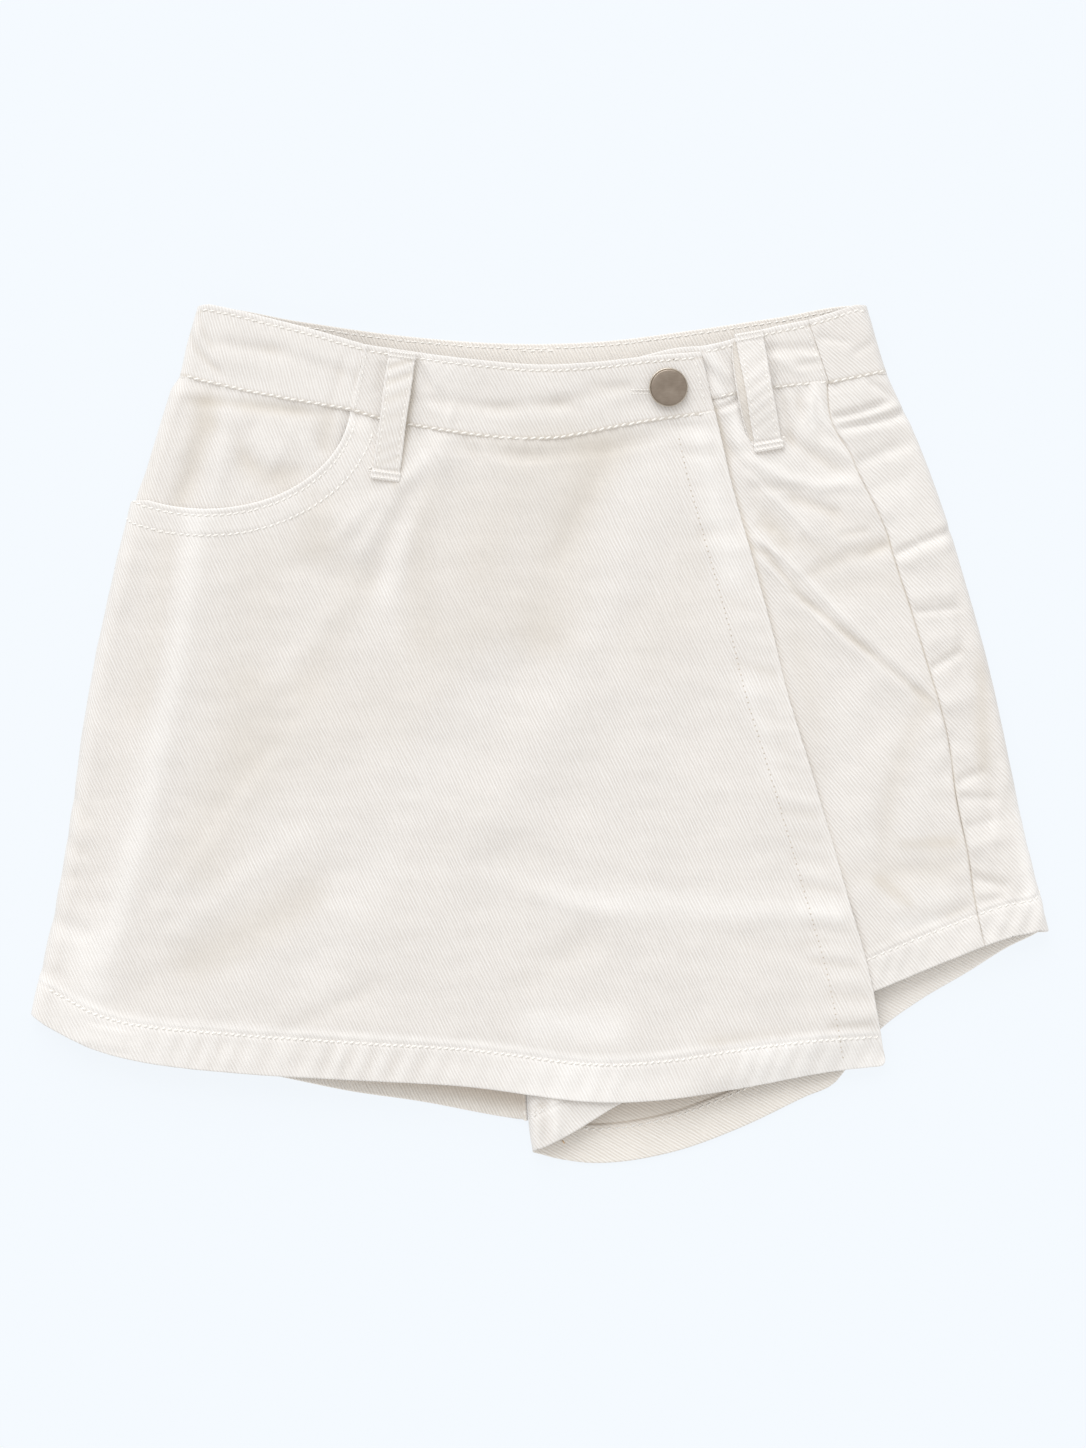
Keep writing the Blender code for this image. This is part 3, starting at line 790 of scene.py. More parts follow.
@dataclass(frozen=True)
class CottonTwill:
    """Garment-washed ivory cotton twill, woven with slanting ribs of thick yarn.

    The eye sees a matt cloth with fine slanting lines, a little darker between the ribs, which wander and
    fade where a yarn is thick or thin. A tone attribute paints light into the colour: paler, up to the pale
    colours, for doubled cloth and for painted highlights, and toward the shaded colour for painted shade.
    """

    name: str = "ivory_cotton_twill"
    rib: str = "#F0EEEC"
    furrow: str = "#DDD8D3"
    # the pale colours, for doubled cloth and painted highlights, then the colour of painted shade
    pale_furrow: str = "#EDEAE7"
    doubled: str = "#FBFAF9"
    painted_shade_colour: str = "#D1C9BD"
    # about twice the real spacing of the ribs, since finer ones don't show
    pitch: float = 1.2
    rib_height: float = 0.10
    # the weft yarns' spacing, coarsened likewise
    weft_pitch: float = 0.8
    slub_length: float = 7.0
    roughness: float = 0.93
    ior: float = 1.53

    def material(self) -> bpy.types.Material:
        """Builds the material. The weave map's first axis runs across the ribs, in millimetres."""
        material, tree, shader = new_material(self.name)
        add = partial(add_node, tree)
        weave = add("UVMap", {"uv_map": "weave"}).outputs["UV"]
        slow = add("Mapping", Vector=weave, Scale=(0.16, 0.05, 1.0))
        wander = add("TexNoise", Vector=slow, Scale=1.0, Detail=2.0)
        drift = add("Math", {"operation": "MULTIPLY"}, in0=wander, in1=1.3)
        shift = add("CombineXYZ", X=drift)
        moved = add("VectorMath", {"operation": "ADD"}, in0=weave, in1=shift)
        ribs = add(
            "TexWave",
            {"wave_type": "BANDS", "bands_direction": "X", "wave_profile": "SIN"},
            Vector=moved,
            Scale=wave_scale(self.pitch),
            Distortion=0.9,
            Detail=1.0,
            Detail_Scale=1.4,
        )
        long = add("Mapping", Vector=weave, Scale=(0.85, 1.0 / self.slub_length, 1.0))
        slub = add("TexNoise", Vector=long, Scale=1.0, Detail=3.0)
        # the ribs' strength, from place to place
        strength = add("MapRange", Value=slub, From_Min=0.33, From_Max=0.67, To_Min=0.35, To_Max=1.5)
        centred = add("Math", {"operation": "SUBTRACT"}, in0=ribs.outputs[1], in1=0.5)
        cord = add("Math", {"operation": "MULTIPLY"}, in0=centred, in1=strength)
        picks = add(
            "TexWave",
            {"wave_type": "BANDS", "bands_direction": "Y", "wave_profile": "SIN"},
            Vector=moved,
            Scale=wave_scale(self.weft_pitch),
            Distortion=2.0,
        )
        relief = add("Math", {"operation": "MULTIPLY_ADD"}, in0=picks.outputs[1], in1=0.10, in2=cord)
        fuzz = add("TexNoise", Vector=weave, Scale=2.6, Detail=2.0)
        rough = add("Math", {"operation": "MULTIPLY_ADD"}, in0=fuzz, in1=0.28, in2=relief)
        tone = add("MapRange", Value=rough, From_Min=-0.25, From_Max=0.85)
        # the tone attribute: painted light above 0, painted shade below it
        doubled = add("Attribute", {"attribute_name": "doubled"}).outputs["Fac"]
        plain = stops(tree, tone, srgb(self.furrow), srgb(self.rib))
        pale = stops(tree, tone, srgb(self.pale_furrow), srgb(self.doubled))
        # the colour with painted light: toward the pale colours as the tone rises
        painted_light = add("Mix", {"data_type": "RGBA"}, in0=doubled, in6=plain, in7=pale)
        broad = add("Mapping", Vector=weave, Scale=(0.035, 0.045, 1.0))
        cloud = add("TexNoise", Vector=broad, Scale=1.0, Detail=4.0)
        level = add("MapRange", Value=cloud, From_Min=0.25, From_Max=0.75, To_Min=0.965, To_Max=1.015)
        # painted shade: where the tone is below 0 the colour goes toward the shaded colour
        painted_shade = add("Math", {"operation": "MULTIPLY", "use_clamp": True}, in0=doubled, in1=-1.0)
        with_painted_shade = add("Mix", {"data_type": "RGBA"}, in0=painted_shade, in6=painted_light.outputs[2], in7=srgb(self.painted_shade_colour))
        # weft yarns that are thick for a few millimetres lie across the garment
        weft = add("TexCoord").outputs["Object"]
        streaks = add("Mapping", Vector=weft, Scale=(130.0, 900.0, 130.0))
        streak = add("TexNoise", Vector=streaks, Scale=1.0, Detail=2.0)
        streaked = add("MapRange", Value=streak, From_Min=0.3, From_Max=0.7, To_Min=-0.012, To_Max=0.012)
        both = add("Math", {"operation": "ADD"}, in0=level, in1=streaked)
        final = add("VectorMath", {"operation": "SCALE"}, in0=with_painted_shade.outputs[2], Scale=both)
        bump = add("Bump", Strength=1.0, Distance=self.rib_height * MM, Height=rough)
        set_inputs(shader, {"Base Color": final, "Normal": bump, "Roughness": self.roughness, "IOR": self.ior})
        # the nap that washing raises gives a faint paler edge
        set_inputs(shader, {"Specular IOR Level": 0.3, "Sheen Weight": 0.08, "Sheen Roughness": 0.6})
        return material


@dataclass(frozen=True)
class CottonThread:
    """Matt spun sewing thread, a little creamier than the cloth: two plies show as slanting turns."""

    name: str = "cream_sewing_thread"
    light: str = "#FDFCFA"
    dark: str = "#EEEAE4"
    # the plies' turns, drawn about twice as coarse as they are, so that they show
    twist_pitch: float = 0.7
    roughness: float = 0.85

    def material(self) -> bpy.types.Material:
        """Builds the material. The ply map's first axis runs along the thread, in millimetres."""
        material, tree, shader = new_material(self.name)
        add = partial(add_node, tree)
        ply = add("UVMap", {"uv_map": "weave"}).outputs["UV"]
        twist = add(
            "TexWave",
            {"wave_type": "BANDS", "bands_direction": "DIAGONAL", "wave_profile": "SIN"},
            Vector=ply,
            Scale=wave_scale(self.twist_pitch),
            Distortion=0.6,
        )
        color = stops(tree, twist.outputs[1], srgb(self.dark), srgb(self.light))
        bump = add("Bump", Strength=0.8, Distance=0.05 * MM, Height=twist.outputs[1])
        set_inputs(shader, {"Base Color": color, "Normal": bump, "Roughness": self.roughness, "Sheen Weight": 0.1})
        return material


@dataclass(frozen=True)
class AntiqueNickel:
    """Brass cap plated with nickel, darkened in a bath and brushed: a dull warm grey with fine scratches."""

    name: str = "antique_nickel_brushed"
    bright: str = "#A2968A"
    dark: str = "#897D71"
    roughness: float = 0.42

    def material(self) -> bpy.types.Material:
        """Builds the material. The brushing runs across the cap, in object space."""
        material, tree, shader = new_material(self.name)
        add = partial(add_node, tree)
        where = add("TexCoord").outputs["Object"]
        lines = add("Mapping", Vector=where, Rotation=(0.0, 0.0, math.radians(28.0)), Scale=(260.0, 5200.0, 400.0))
        brushed = add("TexNoise", Vector=lines, Scale=1.0, Detail=3.0)
        cloud = add("TexNoise", Vector=where, Scale=230.0, Detail=3.0)
        both = add("Math", {"operation": "MULTIPLY_ADD"}, in0=brushed, in1=0.5, in2=cloud)
        level = add("MapRange", Value=both, From_Min=0.5, From_Max=1.0)
        color = stops(tree, level, srgb(self.dark), srgb(self.bright))
        dull = add("MapRange", Value=level, To_Min=self.roughness + 0.08, To_Max=self.roughness - 0.06)
        bump = add("Bump", Strength=0.35, Distance=0.02 * MM, Height=brushed)
        set_inputs(shader, {"Base Color": color, "Roughness": dull, "Normal": bump, "Metallic": 1.0})
        return material


@dataclass(frozen=True)
class LightTable:
    """Frosted white acrylic sheet lit from below: pale and cool, with shadows that hardly show."""

    name: str = "frosted_acrylic_light_table"
    color: str = "#F3F8FD"
    reflects: float = 0.08
    glow: float = 0.93

    def material(self) -> bpy.types.Material:
        """Builds the material: part of its paleness is reflected and part is its own glow."""
        material, tree, shader = new_material(self.name)
        add = partial(add_node, tree)
        grit = add("TexCoord").outputs["Object"]
        frost = add("TexNoise", Vector=grit, Scale=900.0, Detail=2.0)
        bump = add("Bump", Strength=0.2, Distance=0.02 * MM, Height=frost)
        color = srgb(self.color)
        reflected = (*(c * self.reflects for c in color[:3]), 1.0)
        set_inputs(shader, {"Base Color": reflected, "Roughness": 1.0, "Specular IOR Level": 0.0, "Normal": bump})
        set_inputs(shader, {"Emission Color": color, "Emission Strength": self.glow})
        return material


TWILL = CottonTwill().material()
# painted light: a paler, warmer copy for the inner faces, standing in for the warm light that bounces between the
# layers into their shade
TWILL_INSIDE_PAINTED_BOUNCE = CottonTwill(
    "ivory_cotton_twill_inside_painted_bounce", "#F9F6F2", "#E3DDD5", "#F0EBE5", "#FEFCF9", "#CDBDAB"
).material()
# painted light and shade: a paler, greyer copy for the band's inside, whose shaded colour paints the shade towards
# the wearer's right and whose pale colours paint light towards the left
TWILL_BAND_INSIDE_PAINTED_SHADE = CottonTwill(
    "ivory_cotton_twill_band_inside_painted_shade", "#F7F4F0", "#E3DDD6", "#F0ECE7", "#FDFBF8", "#C0B8AF"
).material()
THREAD = CottonThread().material()
# painted shade: a darker copy of the thread, for small dots whose darkness stands for the shade of their needle holes
THREAD_PAINTED_HOLE_SHADE = CottonThread("sewing_thread_painted_hole_shade", "#DAD1C6", "#C6BCAF").material()
RUST_THREAD = CottonThread("rust_thread_end", "#E3C49C", "#CDA87C").material()
# painted shade: a dark dot standing for the shade in a needle hole
NEEDLE_HOLE_PAINTED_SHADE = CottonThread("needle_hole_painted_shade", "#95887A", "#7D7166").material()
NICKEL = AntiqueNickel().material()
POLISHED_NICKEL = AntiqueNickel("antique_nickel_worn_bright", "#D6CDC1", "#B4AA9D", 0.30).material()


# --- Meshes ---


def mesh_object(name: str, points: Array, faces: Array, uv: Array, material: bpy.types.Material) -> bpy.types.Object:
    """Smooth-shaded object from arrays.

    Args:
        name: the object's name.
        points: its points, in millimetres.
        faces: its four-sided faces, as a row of point numbers each.
        uv: the weave map, a row for each corner of each face.
        material: its material.

    Returns:
        The object, linked to the scene.
    """
    mesh = bpy.data.meshes.new(name)
    mesh.vertices.add(len(points))
    mesh.vertices.foreach_set("co", (points * MM).astype(np.float32).ravel())
    mesh.loops.add(faces.size)
    mesh.loops.foreach_set("vertex_index", faces.astype(np.int32).ravel())
    mesh.polygons.add(len(faces))
    mesh.polygons.foreach_set("loop_start", np.arange(0, faces.size, 4, dtype=np.int32))
    mesh.polygons.foreach_set("loop_total", np.full(len(faces), 4, np.int32))
    layer = mesh.uv_layers.new(name="weave")
    layer.data.foreach_set("uv", uv.astype(np.float32).ravel())
    mesh.update(calc_edges=True)
    mesh.shade_smooth()
    mesh.materials.append(material)
    piece = bpy.data.objects.new(name, mesh)
    bpy.context.scene.collection.objects.link(piece)
    return piece


def unit(vectors: Array) -> Array:
    """Vectors at length 1."""
    return vectors / np.maximum(np.linalg.norm(vectors, axis=-1, keepdims=True), 1e-9)


def grid_normals(points: Array) -> Array:
    """Outward normals of a grid whose columns run along s and whose rows run down.

    Args:
        points: the grid.

    Returns:
        A unit normal for each point.
    """
    across = np.gradient(points, axis=1)
    down = np.gradient(points, axis=0)
    return unit(np.cross(across, -down))


def quads(number: Array, closed: bool = False) -> Array:
    """Four-sided faces of grids of points.

    Args:
        number: the points' numbers, with each grid's rows and columns last.
        closed: True where the last column joins the first.

    Returns:
        The faces, facing outward.
    """
    if closed:
        number = np.concatenate([number, number[..., :1]], axis=-1)
    corners = (number[..., :-1, :-1], number[..., 1:, :-1], number[..., 1:, 1:], number[..., :-1, 1:])
    return np.stack(corners, axis=-1).reshape(-1, 4)


def edge_distances(points: Array, sewn: Ends = Ends.NONE) -> Array:
    """Distance of each grid point from the nearest free edge of its grid, square to that edge.

    Args:
        points: the grid.
        sewn: which of the first and last columns are sewn to a neighbour.

    Returns:
        The distances.
    """

    def from_first_row(grid: Array) -> Array:
        """Distances from the first row.

        Args:
            grid: the points.

        Returns:
            The distances, square to the row.
        """
        steps = np.linalg.norm(np.diff(grid, axis=0), axis=-1)
        run = np.concatenate([np.zeros((1, grid.shape[1])), np.cumsum(steps, axis=0)])
        tangent = unit(np.gradient(grid[0], axis=0))
        side = unit(grid[1] - grid[0])
        square = np.linalg.norm(np.cross(tangent, side), axis=-1)
        return run * square[None, :]

    turned = points.transpose(1, 0, 2)
    sides = [from_first_row(points), from_first_row(points[::-1])[::-1]]
    if Ends.START not in sewn:
        sides.append(from_first_row(turned).T)
    if Ends.END not in sewn:
        sides.append(from_first_row(turned[::-1])[::-1].T)
    return np.minimum.reduce(sides)


def weave_map(across: Array, up: Array, grain: float) -> Array:
    """Weave map of points: across the ribs, then along them. The ribs fall to the wearer's left by grain."""
    turn = np.radians(grain)
    return np.stack([across * np.sin(turn) + up * np.cos(turn), across * np.cos(turn) - up * np.sin(turn)], axis=-1)


def round_corner(grid: Array, radius: float) -> Array:
    """Rounds the corner of a grid at its first row and first column.

    Args:
        grid: the points. They are not changed.
        radius: the corner's radius.

    Returns:
        The points, with those near the corner drawn in.
    """
    if radius <= 0.0:
        return grid
    ahead = unit(grid[0, 4] - grid[0, 0])
    down = unit(grid[4, 0] - grid[0, 0])
    offset = grid - grid[0, 0]
    skew = float(ahead @ down)
    a = (offset @ ahead - skew * (offset @ down)) / (1.0 - skew * skew)
    b = (offset @ down - skew * (offset @ ahead)) / (1.0 - skew * skew)
    u = np.clip(1.0 - a / radius, 0.0, 1.0)
    v = np.clip(1.0 - b / radius, 0.0, 1.0)
    near = (np.abs(a) < 3.0 * radius) & (np.abs(b) < 3.0 * radius)
    share = np.where(near, 1.0 - np.maximum(u, v) / np.maximum(np.hypot(u, v), 1e-6), 0.0) * (u * v > 0.0)
    return grid + radius * (share * u)[..., None] * ahead + radius * (share * v)[..., None] * down


def round_corners(grid: Array, radii: tuple[float, float, float, float]) -> Array:
    """Rounds a grid's four corners.

    Args:
        grid: the points. They are not changed.
        radii: the corners' radii: upper at the wearer's right, upper left, lower right and lower left.

    Returns:
        The rounded grid.
    """
    grid = round_corner(grid, radii[0])
    grid = round_corner(grid[:, ::-1], radii[1])[:, ::-1]
    grid = round_corner(grid[::-1], radii[2])[::-1]
    return round_corner(grid[::-1, ::-1], radii[3])[::-1, ::-1]


def shell(
    name: str,
    outer: Array,
    wall: Array,
    maps: tuple,
    doubled: Array,
    radii: tuple = (0.0,) * 4,
    sewn: Ends = Ends.NONE,
    inside: bpy.types.Material = TWILL_INSIDE_PAINTED_BOUNCE,
) -> bpy.types.Object:
    """Closed shell of cloth with rounded rims.

    Args:
        name: the object's name.
        outer: the outer face, a grid of points.
        wall: the cloth's thickness at each.
        maps: the weave maps of the outer and the inner face.
        doubled: the tone at each: 1 where the cloth is doubled or a highlight is painted, 0 where it is plain, below
            0 where shade is painted.
        radii: the corners' radii, in the order of round_corners.
        sewn: which of the first and last columns are sewn to a neighbour.
        inside: the finish of the inner face.

    Returns:
        The object.
    """
    rows, columns = outer.shape[:2]
    outer = round_corners(outer, radii)
    normals = grid_normals(outer)
    rim = 0.5 * wall
    near = np.clip(1.0 - edge_distances(outer, sewn) / np.minimum(rim, ROLL), 0.0, 1.0)
    sunk = rim * (1.0 - np.sqrt(1.0 - near * near))
    outer_points = outer - normals * sunk[..., None]
    inner_points = outer - normals * (wall - sunk)[..., None]
    number = np.arange(rows * columns).reshape(rows, columns)
    inner_number = number + rows * columns
    on_rim = np.ones((rows, columns), bool)
    on_rim[1:-1, 1:-1] = False
    inner_number = np.where(on_rim, number, inner_number)
    kept = np.concatenate([np.arange(rows * columns), inner_number[~on_rim]])
    places = np.full(2 * rows * columns, -1)
    places[kept] = np.arange(len(kept))
    points = np.concatenate([outer_points.reshape(-1, 3), inner_points.reshape(-1, 3)])[kept]
    faces = np.concatenate([places[quads(number)], places[quads(inner_number)][:, ::-1]])
    outer_map, inner_map = (part.reshape(-1, 2) for part in maps)
    uv = np.concatenate([outer_map[quads(number)].reshape(-1, 2), inner_map[quads(number)[:, ::-1]].reshape(-1, 2)])
    piece = mesh_object(name, points, faces, uv, TWILL)
    # the tone attribute, which paints light and shade into the twill's colour
    layer = piece.data.attributes.new("doubled", "FLOAT", "POINT")
    values = np.concatenate([doubled.ravel(), doubled.ravel()])[kept]
    layer.data.foreach_set("value", values.astype(np.float32))
    piece.data.materials.append(inside)
    side = np.repeat([0, 1], len(faces) // 2)
    piece.data.polygons.foreach_set("material_index", side.astype(np.int32))
    return piece


def state_cloth(
    piece: bpy.types.Object, nodes: Sequence[str], flat: tuple[float, float], area: float
) -> None:
    """Places a piece of cloth in the frame and states its cut.

    Args:
        piece: the shell.
        nodes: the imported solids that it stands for.
        flat: its width and length when flat, in metres.
        area: its flat area, in square metres.
    """
    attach(piece, BODY)
    if nodes:
        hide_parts(*nodes)
    LOG.info("%s: cut %.0f x %.0f mm, %.0f cm2", piece.name, flat[0] / MM, flat[1] / MM, area * 1e4)


@dataclass
class ClothPiece:
    """One cut piece of twill. Each kind says where its grid lies, how far out, and how thick it is."""

    node: str = ""
    grain: float = 62.0
    inner_grain: float = 118.0
    base: float = 0.0
    leg: Leg = Leg.NONE
    wall: float = 0.9
    rests_on: tuple[str, ...] = ()
    radii: tuple[float, ...] = (0.0, 0.0, 0.0, 0.0)
    sewn: Ends = Ends.NONE
    inside_finish: bpy.types.Material = TWILL_INSIDE_PAINTED_BOUNCE

    @property
    def name(self) -> str:
        """The piece's name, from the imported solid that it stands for."""
        return self.node + "_cloth"

    def grid(self) -> tuple[Array, Array]:
        """The unrolled places of the grid's points, as s and y."""
        raise NotImplementedError

    def out(self, s: Array, y: Array) -> Array:
        """How far outside the shorts' outer face each point lies.

        Args:
            s: the points' unrolled places across.
            y: their places up.

        Returns:
            The distances: the layer's lift and its relief.
        """
        return np.zeros(np.broadcast(s, y).shape)

    def thickness(self, s: Array, y: Array) -> Array:
        """The cloth's thickness at each point.

        Args:
            s: the points' unrolled places across.
            y: their places up.

        Returns:
            The thickness.
        """
        return np.full(np.broadcast(s, y).shape, self.wall)

    def doubled(self, s: Array, y: Array) -> Array:
        """Painted light: 1 where the cloth is doubled or a highlight is painted, 0 where it is plain.

        Args:
            s: the points' unrolled places across.
            y: their places up.

        Returns:
            The tone at each point: paler above 0, up to 1, and painted shade below it, down to -1.
        """
        return np.zeros(np.broadcast(s, y).shape)

    def weave(self, s: Array, y: Array) -> Array:
        """Weave map of the outer face."""
        return weave_map(s, y, self.grain)

    def surface(self, s: Array, y: Array) -> Array:
        """Points of the outer face."""
        return FORM.place(s, y, self.out(s, y), self.base, self.leg)

    def build(self) -> bpy.types.Object:
        """Builds the piece, places it in the frame and states its cut.

        Returns:
            The object.
        """
        s, y = self.grid()
        outer = self.surface(s, y)
        wall = self.thickness(s, y)
        maps = (self.weave(s, y), weave_map(outer[..., 0], y, self.inner_grain))
        # painted light and shade, with the doubled cloth's paleness
        tone = np.clip(self.doubled(s, y), -1.0, 1.0)
        piece = shell(self.name, outer, wall, maps, tone, self.radii, self.sewn, self.inside_finish)
        steps = np.linalg.norm(np.cross(np.diff(outer, axis=0)[:, :-1], np.diff(outer, axis=1)[:-1]), axis=-1)
        area = float(steps.sum()) * MM * MM
        state_cloth(piece, (self.node,), (float(np.ptp(s)) * MM, float(np.ptp(y)) * MM), area)
        return piece


class Stitching(NamedTuple):
    """How a row of stitches is sewn."""

    pitch: float = 2.9
    length: float = 2.4
    radius: float = 0.38
    lie: float = 0.10
    dip: float = 0.40
    slant: float = 0.20


TOPSTITCH = Stitching()
# a stitch's rings, from one end to the other, their share of its radius, and its sides
STITCH_RINGS = np.array([-1.0, -0.72, 0.0, 0.72, 1.0])
STITCH_TAPER = np.array([0.35, 0.85, 1.0, 0.85, 0.35])
STITCH_SIDES = 6
# how far to each side the cloth's slope is measured
PROBE = 0.25


def stitch_points(surface: Callable, path: Array, sewn: Stitching, draw: np.random.Generator) -> tuple:
    """Points of a row of stitches.

    Args:
        surface: gives points of the cloth's face from s and y.
        path: the row's s and y, closely spaced.
        sewn: how the stitches are sewn.
        draw: the source of the small unevenness.

    Returns:
        The points, faces and ply map.
    """
    spots = surface(path[:, 0], path[:, 1])
    run = np.concatenate([[0.0], np.cumsum(np.linalg.norm(np.diff(spots, axis=0), axis=1))])
    count = int(run[-1] // sewn.pitch)
    middle = (np.arange(count) + 0.5) * (run[-1] / count) + draw.normal(0.0, 0.05 * sewn.pitch, count)
    half = 0.5 * sewn.length * draw.uniform(0.92, 1.06, count)
    at = middle[:, None] + half[:, None] * STITCH_RINGS
    s = np.interp(at, run, path[:, 0])
    y = np.interp(at, run, path[:, 1])
    here = surface(s, y)
    along_s = surface(s + PROBE, y) - surface(s - PROBE, y)
    along_y = surface(s, y + PROBE) - surface(s, y - PROBE)
    normal = unit(np.cross(along_s, along_y))
    ahead = unit(np.gradient(here, axis=1))
    aside = unit(np.cross(normal, ahead))
    sway = sewn.slant * half[:, None] * STITCH_RINGS + draw.normal(0.0, 0.06, count)[:, None]
    height = sewn.lie - sewn.dip * STITCH_RINGS**4
    centre = here + normal * height[None, :, None] + aside * sway[..., None]
    radius = sewn.radius * STITCH_TAPER
    turn = np.arange(STITCH_SIDES) / STITCH_SIDES * math.tau
    ring = normal[:, :, None, :] * np.sin(turn)[:, None] + aside[:, :, None, :] * np.cos(turn)[:, None]
    points = centre[:, :, None, :] + ring * radius[None, :, None, None]
    number = np.arange(points.size // 3).reshape(points.shape[:3])
    first, last = number[:, 0], number[:, -1]
    ends = (first[:, [0, 1, 2, 3]], first[:, [0, 3, 4, 5]], last[:, [3, 2, 1, 0]], last[:, [5, 4, 3, 0]])
    faces = np.concatenate([quads(number, True), *ends])
    place, round_it = np.broadcast_arrays(at[:, :, None], turn * sewn.radius)
    uv = np.stack([place.ravel(), round_it.ravel()], axis=-1)[faces.ravel()]
    return points.reshape(-1, 3), faces, uv


class StitchWork:
    """All the stitches of one sub-assembly, joined into one mesh."""

    def __init__(self, name: str, seed: int, material: bpy.types.Material = THREAD) -> None:
        """Starts with no stitches.

        Args:
            name: the mesh's name.
            seed: which small unevenness.
            material: the thread.
        """
        self.name = name
        self.draw = np.random.default_rng(seed)
        self.material = material
        self.parts: list[tuple] = []

    def row(self, surface: Callable, path: Array, sewn: Stitching = TOPSTITCH) -> None:
        """Sews one row along a path of s and y."""
        self.parts.append(stitch_points(surface, path, sewn, self.draw))

    def build(self) -> bpy.types.Object:
        """Joins the rows into one object that rides on the garment.

        Returns:
            The object.
        """
        points, faces, uv = zip(*self.parts)
        shifts = np.cumsum([0] + [len(part) for part in points[:-1]])
        faces = np.concatenate([part + shift for part, shift in zip(faces, shifts)])
        piece = mesh_object(self.name, np.concatenate(points), faces, np.concatenate(uv), self.material)
        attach(piece, BODY)
        LOG.info("%s: %d faces", self.name, len(faces))
        return piece


def along(start: float, end: float, edge: Edge, shift: float = 0.0) -> Array:
    """Path of s and y beside an edge.

    Args:
        start: the edge's key where the path starts: y for a Down curve, else s.
        end: the key where it ends.
        edge: the edge.
        shift: how far the path lies from the edge, towards greater values.

    Returns:
        The path, a row of s and y for each point.
    """
    key = np.linspace(start, end, max(3, int(abs(end - start) / 0.8)))
    value = edge(key) + shift
    return np.stack([value, key] if getattr(edge, "down", False) else [key, value], axis=-1)


def straight(start: tuple[float, float], end: tuple[float, float], count: int) -> Array:
    """Straight path of s and y."""
    return np.stack([np.linspace(*ends, count) for ends in zip(start, end)], axis=-1)


# --- Hems and seams ---


@dataclass(frozen=True)
class Hem:
    """Hem turned up twice and stitched: a thicker strip with a groove at the stitches and a ridge above."""

    depth: float = 13.6
    rise: float = 0.30
    groove: float = 0.24
    ridge: float = 0.30
    roping: Roping = Roping(9.5, 0.35, 8.0, -0.45, 1.3)

    def relief(self, along_it: Array, off: Array) -> Array:
        """Height at points by their distance from the hem's edge.

        Args:
            along_it: their place along the hem.
            off: their distance from its edge.

        Returns:
            The height at each point.
        """
        step = self.rise * smooth((self.depth + 1.0 - off) / 2.0)
        line = -self.groove * bell(off - self.depth, 0.9) + self.ridge * bell(off - self.depth - 2.1, 1.2)
        return step + line + self.roping.at(along_it, off - 0.45 * self.depth)

    def doubled(self, off: Array) -> Array:
        """Painted light: 1, paler, in the turned-up strip, 0 above it."""
        return smooth((self.depth + 3.2 - off) / 2.2)


# --- Wrap panel ---

WRAP_CREASES = table(
    Crease,
    # from the foot of the right belt loop
    (-38, 113, -58, 56, 0.5, 4.5, 2), (-46, 108, -67, 78, 0.55, 3, 1.5), (-55, 100, -76, 82, 0.4, 3, 1),
    (-46, 98, -66, 62, -0.55, 4.6, 1), (-92, 66, -66, 62, -0.45, 6), (-96, 88, -72, 86, 0.4, 6),
    # broad bands that fall from the button towards the right hem
    (30, 108, -8, 26, -0.45, 9, 3), (54, 110, 12, 8, 0.45, 11, 3), (26, 108, 10, 74, -0.35, 5),
    (40, 48, 22, 22, -0.4, 8), (8, -10, -30, -52, 0.35, 10),
    # down the right side
    (-136, 84, -171, -84, 0.5, 6, -4), (-154, 62, -180, -60, -0.35, 7, -2), (-72, 58, -112, 12, 0.45, 6),
    (-112, 56, -88, 20, -0.3, 9), (-98, 4, -148, -60, -0.25, 4.5, 1), (-108, -14, -153, -72, 0.32, 4, 1),
    (-100, -46, -142, -78, 0.4, 5), (-86, -60, -164, -104, -0.35, 7, -2), (-78, -72, -128, -106, 0.5, 9),
    (-70, -104, -98, -118, -0.45, 3.6), (-52, -2, -24, -6, -0.3, 7), (-60, -44, 0, -50, -0.28, 8),
    # straight across, low down
    (-14, -60, 30, -73, 0.5, 5), (26, -70, 128, -73, 0.42, 6), (12, -88, 24, -86, -0.15, 6),
    (-4, -100, 18, -84, -0.4, 6), (84, -84, 104, -86, -0.3, 6),
    # the dip just below the waistband
    (-38, 113.5, -6, 110.5, -0.4, 2.6), (-6, 110.5, 44, 117, -0.5, 2.8, 1.5), (-43, 119, -38, 108, 0.4, 1.8),
    (-47.5, 118, -43.5, 110, -0.4, 1.7), (-24, 116, -18, 108, 0.35, 1.8), (-29.5, 116, -25, 109, -0.3, 1.7),
    (50, 122, 64, 122.5, -0.4, 2.2), (56, 112.5, 68, 110, -0.3, 2.4),
    # the bumps of the right side fold
    (-188, -26, -181, -34, -0.6, 3), (-191, -42, -183, -48, -0.6, 3), (-192, -58, -185, -58, -0.5, 3),
    (-196, -74, -182, -80, -0.8, 4), (-203, -94, -192, -97, -0.55, 3),
)


